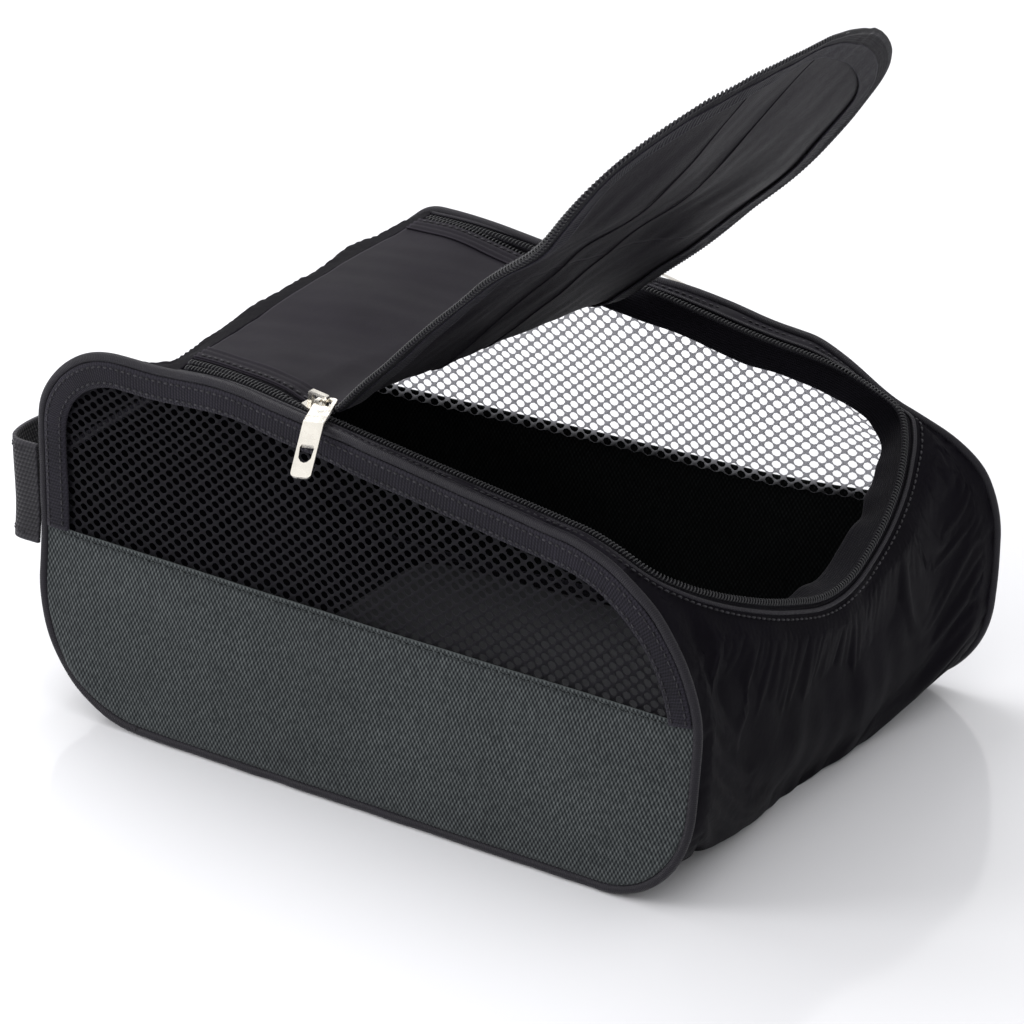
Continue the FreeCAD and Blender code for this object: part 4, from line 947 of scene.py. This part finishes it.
P = (base3[:, None] - nn3[:, None] * (ww[None, :, None] * wide[:, None, None] * 0.93)
     - out3[:, None] * ((2.5 * ww ** 1.5)[None, :, None] + (wavy[:, None] * ww[None, :] ** 1.3)[..., None] * 1.0))
o = sheet("toe_facing", soft(P), M_TAPE, np.stack(np.broadcast_arrays(sl[:, None], ww[None, :] * 15), -1), 0.7)
keep(o, "zip_tape")

# coil on the bag side
cc = resample(offset2(ZIP, 1.3), step=1.0)
cc = cc[2:-2]
C = soft(skin(cc, -0.1))
parts = [helix_geo(C, skin_n(cc), 1.25, 0.95, 0.36, 1.65)]
keep(join("zip_coil_body", parts, M_COIL), "zip_coil", "zip_coil_bag")

# binding over the cross seam, inside the top at the heel
yy = np.linspace(-80, 72, 80)
lx = np.linspace(-3.5, 3.5, 8)
P = np.stack(np.broadcast_arrays(-97.0 + lx[None, :], yy[:, None], 163.9 + 0.25 * np.cos(yy / 9.0)[:, None] + 0.5 * (1 - (lx / 3.5) ** 2)[None, :] * -1), -1)
o = sheet("heel_cross_tape", P, M_BIND, np.stack(np.broadcast_arrays(yy[:, None], lx[None, :]), -1), 0.8)
keep(o, "binding", "heel_seam_binding")

# heel handle: flat ribbed webbing, bowed out from the two side seams
ph = np.linspace(-math.pi / 2, math.pi / 2, 161)
out = 18.8 * np.abs(np.cos(ph)) ** (1 / 3.0) + 1.0
hy = 97.2 * np.sign(np.sin(ph)) * np.abs(np.sin(ph)) ** (1 / 3.0)
hx = -169.6 - out
run = resample(np.stack([hx, hy], -1), n=181)
hx, hy = run[:, 0], run[:, 1]
sl = arclen(run)
th = hy / 97.2
drop = 1.5 + 18.0 * ramp(hy, -86, 78) + 1.2 * (1 - th ** 2)
zz = np.linspace(70.5, 115.5, 27)
ripple = 0.35 * np.sin(zz / 50 * math.pi * 2)[None, :] * np.cos(th * 3)[:, None]
tw = 0.05 * (zz - 93)[None, :] * (1 - np.abs(th) ** 6)[:, None] * (0.4 + 0.6 * th)[:, None]
hwave = 0.5 * waves(np.stack([sl, 0 * sl], -1), 60.0, 91)
P = np.stack(np.broadcast_arrays((hx + hwave * (1 - np.abs(th) ** 8))[:, None] + ripple + tw, hy[:, None],
                                 zz[None, :] - drop[:, None]), -1)
P = soft(P)
o = sheet("heel_webbing", P, M_WEB, np.stack(np.broadcast_arrays(sl[:, None], zz[None, :]), -1), 1.7)
keep(o, "webbing", "heel_handle")
parts = []
outw = unit(np.gradient(run, axis=0))
outw = np.stack([-np.abs(outw[:, 1]), np.sign(hy) * np.abs(outw[:, 0]), 0 * hy], -1)
for j in (2, 24):
    C = (P[:, j] + outw * 0.85)[5:-5]
    parts.append(stitch_geo(C, outw[5:-5], lift=0.1))
keep(join("handle_stitches", parts, M_THREAD), "webbing")

# ----------------------------------------------------------------- flap
TH1, TH2 = math.radians(52.5), math.radians(42.5)
joints = {j["name"]: j for j in frame["joints"]}
FP = np.array(joints["flap_fold"]["pos_m"]) * 1000
FA = unit(np.array(joints["flap_fold"]["axis"], float))
CPR = np.array(joints["flap_curl"]["pos_m"]) * 1000        # at rest
CAR = unit(np.array(joints["flap_curl"]["axis"], float))
u_ = unit(np.array([FA[1], -FA[0], 0.0]))
DIR1 = u_ * math.cos(math.radians(14.4)) + np.array([0, 0, math.sin(math.radians(14.4))])
LA, LB = 22.4, 14.9
S1, E1 = FP - LA * DIR1, FP + LB * DIR1
D2 = unit(rot(np.array([[math.cos(math.radians(60)), 0, -math.sin(math.radians(60))]]), np.zeros(3), FA, -TH1)[0])
MA, MB = 14.2, 75.0
S2, E2 = CPR - MA * D2, CPR + MB * D2


def blend_w(P, S, E):
    return sstep(((P - S) @ (E - S)) / ((E - S) @ (E - S)))


_m = (TM.P[:, 1] > 60) & (TM.P[:, 0] > -120) & (TM.S < TM.length * 0.75)
_f = (TM.P[:, 0] - TM.P[:, 1])[_m]
_o = np.argsort(_f)
LAY_F, LAY_S = _f[_o], (ZS - TM.S[_m])[_o]


def droop(C):
    """The open flap's own lie, added to the turned shape: the toe end hangs
    forward, the near corner rolls under and the far edge sags."""
    s = np.interp(C[..., 0] - C[..., 2], LAY_F, LAY_S)
    y = C[..., 1]
    wt = sstep((s - 130) / 110.0)[..., None]
    wn = (np.exp(-((s - 228) / 45.0) ** 2) * sstep((-y - 20) / 60.0))[..., None]
    wf = (np.exp(-((s - 160) / 60.0) ** 2) * sstep((y - 10) / 70.0))[..., None]
    up = (lift(C[..., 0], y, C[..., 2]) * (1 - sstep((s - 15) / 60.0)))[..., None]
    return up * np.array([0, 0, 1.0]) + wt * np.array([3.1, 3.0, 5.4]) + wn * np.array([-9.0, -9.0, -6.1]) + wf * np.array([2.3, -0.3, -4.5])


def open_a(C):
    """Shut shape -> rest shape, for cloth between the bag and mid flap."""
    r_ = np.array(C, float)
    for _ in range(70):
        r_ = 0.45 * r_ + 0.55 * rot(C, FP, FA, -blend_w(r_, S1, E1) * TH1)
    return r_ + droop(C)


def open_b(C):
    base = rot(np.array(C, float), FP, FA, -TH1)
    r_ = base.copy()
    for _ in range(70):
        r_ = 0.45 * r_ + 0.55 * rot(base, CPR, CAR, -blend_w(r_, S2, E2) * TH2)
    return r_ + droop(np.array(C, float))


CUT = 52.0                                   # x where the two flap pieces meet
S_CUT = s_of(CUT)
S_END = float(ZIP[:, 0].max())


def flap_h(sy):
    """Slight swell and unevenness of the flap's cloth."""
    s, y = sy[..., 0], sy[..., 1]
    return 0.7 * waves(np.stack([s, y], -1), 60.0, 71) + 0.25 * waves(np.stack([s * 0.7, y * 1.6], -1), 20.0, 72)


def spread(n, dense=16.0, total=190.0):
    """0..1 with close spacing next to both ends."""
    d = dense / total
    e = np.linspace(0, d, 9)[:-1]
    return np.concatenate([e, np.linspace(d, 1 - d, n), 1 - e[::-1]])


EDGE = 5.2
edge2 = offset2(ZIP, -EDGE)
half = len(ZIP) // 2
near_e, far_e = edge2[:half], edge2[half:][::-1]
cs = spread(60)
# piece A
sa_ = np.linspace(0.6, S_CUT, 150)
ya = np.interp(sa_, near_e[:, 0], near_e[:, 1])
yb = np.interp(sa_, far_e[:, 0], far_e[:, 1])
A_sy = np.stack(np.broadcast_arrays(sa_[:, None], ya[:, None] * (1 - cs) + yb[:, None] * cs), -1)
# piece B: ruled from the cut line to the U of the toe end
i0 = np.argmax(edge2[:, 0] > s_of(108.0))
i1 = len(edge2) - np.argmax(edge2[::-1, 0] > s_of(108.0))
U = edge2[i0:i1]
ul = arclen(U)
Uc = np.stack([np.interp(cs * ul[-1], ul, U[:, j]) for j in (0, 1)], -1)
Bc = A_sy[-1]
rb = np.concatenate([np.linspace(0, 0.88, 60), np.linspace(0.89, 1, 14)])
B_sy = Bc[None] * (1 - rb)[:, None, None] + Uc[None] * rb[:, None, None]


def flap_piece(name, sy, h, opener, material, thick, nodes, pair, uv=None):
    P = opener(skin(sy, h))
    o = sheet(name, P, material, sy if uv is None else uv, thick)
    if nodes:
        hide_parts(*nodes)
    FLAP.append((o, pair))
    return o


FLAP = []
flap_piece("flap_cloth_heel", A_sy, flap_h(A_sy), open_a, M_FLAP_PAINTED_LIGHT, 0.9,
           ("flap_heel_panel", "flap_middle_panel"), "A")
flap_piece("flap_cloth_toe", B_sy, flap_h(B_sy), open_b, M_FLAP_PAINTED_LIGHT, 0.9, ("flap_toe_panel",), "B")


def runs(off, step=1.5):
    """The offset zip line split into near A, toe B and far A runs."""
    C = resample(offset2(ZIP, off), step=step)
    s = C[:, 0]
    k0 = int(np.argmax(s >= S_CUT))
    k1 = len(s) - int(np.argmax(s[::-1] >= S_CUT))
    return C[:k0 + 1], C[k0 - 0:k1], C[k1 - 1:]


def band(off0, off1, prof, n=10, step=1.5):
    """(near, toe, far) grids of (s, y) plus heights between two offsets."""
    out = []
    C = resample(ZIP, step=step)
    offs = np.linspace(off0, off1, n)
    G = np.stack([offset2(C, float(o_)) for o_ in offs], 1)
    s = G[:, n // 2, 0]
    k0 = int(np.argmax(s >= S_CUT))
    k1 = len(s) - int(np.argmax(s[::-1] >= S_CUT))
    H = np.broadcast_to(prof(offs)[None, :], G.shape[:2])
    L = arclen(C)
    UV = np.stack(np.broadcast_arrays(L[:, None], offs[None, :]), -1)
    G = G.copy()
    G[..., 0] = np.maximum(G[..., 0], 0.6)
    for a_, b_ in ((0, k0 + 1), (k0, k1), (k1 - 1, len(s))):
        out.append((G[a_:b_], H[a_:b_], UV[a_:b_]))
    return out


def flap_band(name, off0, off1, prof, material, thick, nodes_a, nodes_b, n=10, follow=True):
    near, toe, far = band(off0, off1, prof, n)
    geo = []
    for g, h, uv in (near, far):
        hh = h + (flap_h(g) if follow else 0)
        P = open_a(skin(g, hh))
        geo.append((P.reshape(-1, 3), grid_faces(*P.shape[:2]), uv.reshape(-1, 2)))
    v, f, u = merge(geo)
    o = make(name + "_heel", v, f, material, u)
    m = o.modifiers.new("thickness", "SOLIDIFY")
    m.thickness, m.offset = thick * MM, 0.0
    if nodes_a:
        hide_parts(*nodes_a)
    FLAP.append((o, "A"))
    g, h, uv = toe
    P = open_b(skin(g, h + (flap_h(g) if follow else 0)))
    o = sheet(name + "_toe", P, material, uv, thick)
    if nodes_b:
        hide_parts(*nodes_b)
    FLAP.append((o, "B"))


# tape under the edge, a bound facing inside it, and the outer top-stitched hem
flap_band("flap_tape", -0.5, -8.6, lambda o_: -0.95 + 0 * o_, M_TAPE, 0.6,
          ("zip_tape_flap_heel", "zip_tape_flap_middle"), ("zip_tape_flap_toe",), n=7)
flap_band("flap_facing", -7.6, -17.0, lambda o_: -1.35 - 0.2 * np.exp(-((o_ + 8.3) / 0.8) ** 2)
          - 0.15 * np.exp(-((o_ + 16.4) / 0.8) ** 2), M_BIND, 0.6, (), (), n=16)
flap_band("flap_hem", -5.0, -15.5, lambda o_: 0.75 + 0.38 * np.cos((o_ + 5.0) * 2 * math.pi / 3.5), M_FLAP_PAINTED_LIGHT, 0.6,
          (), (), n=26)


def flap_tube(name, off, h, maker, material, nodes_a, nodes_b):
    near, toe, far = runs(off, 1.0)
    near, far = near[2:], far[:-2]
    pa = []
    for g in (near, far):
        C = skin(g, h + flap_h(g))
        v, f, u = maker(C, skin_n(g))
        pa.append((open_a(v), f, u))
    o = join(name + "_heel", pa, material)
    if nodes_a:
        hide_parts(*nodes_a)
    FLAP.append((o, "A"))
    C = skin(toe, h + flap_h(toe))
    v, f, u = maker(C, skin_n(toe))
    o = join(name + "_toe", [(open_b(v), f, u)], material)
    if nodes_b:
        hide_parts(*nodes_b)
    FLAP.append((o, "B"))


flap_tube("flap_coil", -1.3, -0.35, lambda C, n_: helix_geo(C, n_, 1.25, 0.95, 0.36, 1.65), M_COIL,
          ("zip_coil_flap_heel", "zip_coil_flap_middle"), ("zip_coil_flap_toe",))
flap_tube("flap_edge_stitches", -7.0, 1.3, lambda C, n_: stitch_geo(C, n_, lift=0.1), M_THREAD, (), ())

# two raised seams along the flap's underside
for j, frac in enumerate((0.36, 0.52)):
    for nm, G, opener, pair in (("heel", A_sy[60:], open_a, "A"), ("toe", B_sy[:-6], open_b, "B")):
        g = np.stack([np.array([np.interp(frac, cs, row[:, q_]) for q_ in (0, 1)]) for row in G])
        g = resample(g, step=2.0)
        C = skin(g, flap_h(g) - 0.75)
        t_, L_, N_ = frames_on(C, skin_n(g))
        v, f, u = tube_geo(C, L_, N_, 0.75, 0.3, 8)
        o = make("flap_seam_%d_%s" % (j + 1, nm), opener(v), f, M_FLAP_PAINTED_LIGHT, u)
        FLAP.append((o, pair))

# -------------------------------------------------- carried-over CAD pieces
for side in ("near", "far"):
    for nm in ("slider", "pull"):
        o = NODES["%s_%s" % (side, nm)]
        o.data.materials.clear()
        o.data.materials.append(M_NICKEL)
        m = o.modifiers.new("soft_edges", "BEVEL")
        m.width, m.segments, m.limit_method, m.angle_limit = 0.28 * MM, 2, "ANGLE", math.radians(35)
        m.harden_normals = False
o = NODES["base_board"]
o.data.materials.clear()
o.data.materials.append(M_BOARD)

for o, body in BAG:
    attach(o, body)
for o, pair in FLAP:
    if pair == "A":
        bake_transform(o)
    else:
        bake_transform(o)

# ---------------------------------------------------------- studio and view
k = Nodes("studio_floor")
tc = k.n("ShaderNodeTexCoord")
fn = k.noise(tc.outputs["Object"], 3.0, 2.0)
k.put(k.b.inputs["Base Color"], k.mix(fn, rgba((0.80, 0.80, 0.83)), rgba((0.84, 0.84, 0.865))))
k.b.inputs["Roughness"].default_value = 0.1
k.b.inputs["Specular IOR Level"].default_value = 0.55
bpy.ops.mesh.primitive_plane_add(size=30, location=(0, 0, -0.0003))
floor = bpy.context.object
floor.name = "studio_floor"
floor.data.materials.append(k.m)

world = bpy.data.worlds.new("studio")
bpy.context.scene.world = world
world.use_nodes = True
wt = world.node_tree
wt.nodes["Background"].inputs[0].default_value = (1, 1, 1, 1)
wc = wt.nodes.new("ShaderNodeTexCoord")
wz = wt.nodes.new("ShaderNodeSeparateXYZ")
wr_ = wt.nodes.new("ShaderNodeMapRange")
for i_, q_ in enumerate((0.0, 1.0, 0.42, 1.3)):
    wr_.inputs[i_ + 1].default_value = q_
wt.links.new(wc.outputs["Generated"], wz.inputs[0])
wt.links.new(wz.outputs[2], wr_.inputs[0])
wt.links.new(wr_.outputs[0], wt.nodes["Background"].inputs[1])


def area(name, loc, target, size, power, colour=(1, 1, 1)):
    l = bpy.data.lights.new(name, "AREA")
    l.shape, l.size, l.energy, l.color = "DISK", size, power, colour
    ob = bpy.data.objects.new(name, l)
    bpy.context.scene.collection.objects.link(ob)
    ob.location = loc
    ob.rotation_mode = "QUATERNION"
    ob.rotation_quaternion = (Vector(target) - Vector(loc)).to_track_quat("-Z", "Y")
    return ob


area("key", (-0.9, 0.5, 1.6), (0, 0, 0.1), 1.2, 16)
area("fill", (-0.85, -0.85, 0.6), (-0.1, -0.1, 0.06), 0.6, 7)
area("front", (0.6, -2.2, 1.1), (0, 0, 0.1), 1.5, 5)

cam = bpy.data.cameras.new("camera")
cam.lens, cam.sensor_width = 228.5, 36.0
cam.clip_start, cam.clip_end = 0.05, 100
cam.shift_x, cam.shift_y = 6 / 1024.0, 7.5 / 1024.0
camera = bpy.data.objects.new("camera", cam)
bpy.context.scene.collection.objects.link(camera)
az, el = math.radians(33.2), math.radians(24.5)
back = Vector((math.sin(az) * math.cos(el), -math.cos(az) * math.cos(el), math.sin(el)))
camera.location = Vector((0, 0, 0.085)) + back * 2.72
camera.rotation_mode = "QUATERNION"
camera.rotation_quaternion = (-back).to_track_quat("-Z", "Y")
bpy.context.scene.camera = camera
sc = bpy.context.scene
sc.view_settings.view_transform = "Standard"
sc.view_settings.look = "None"
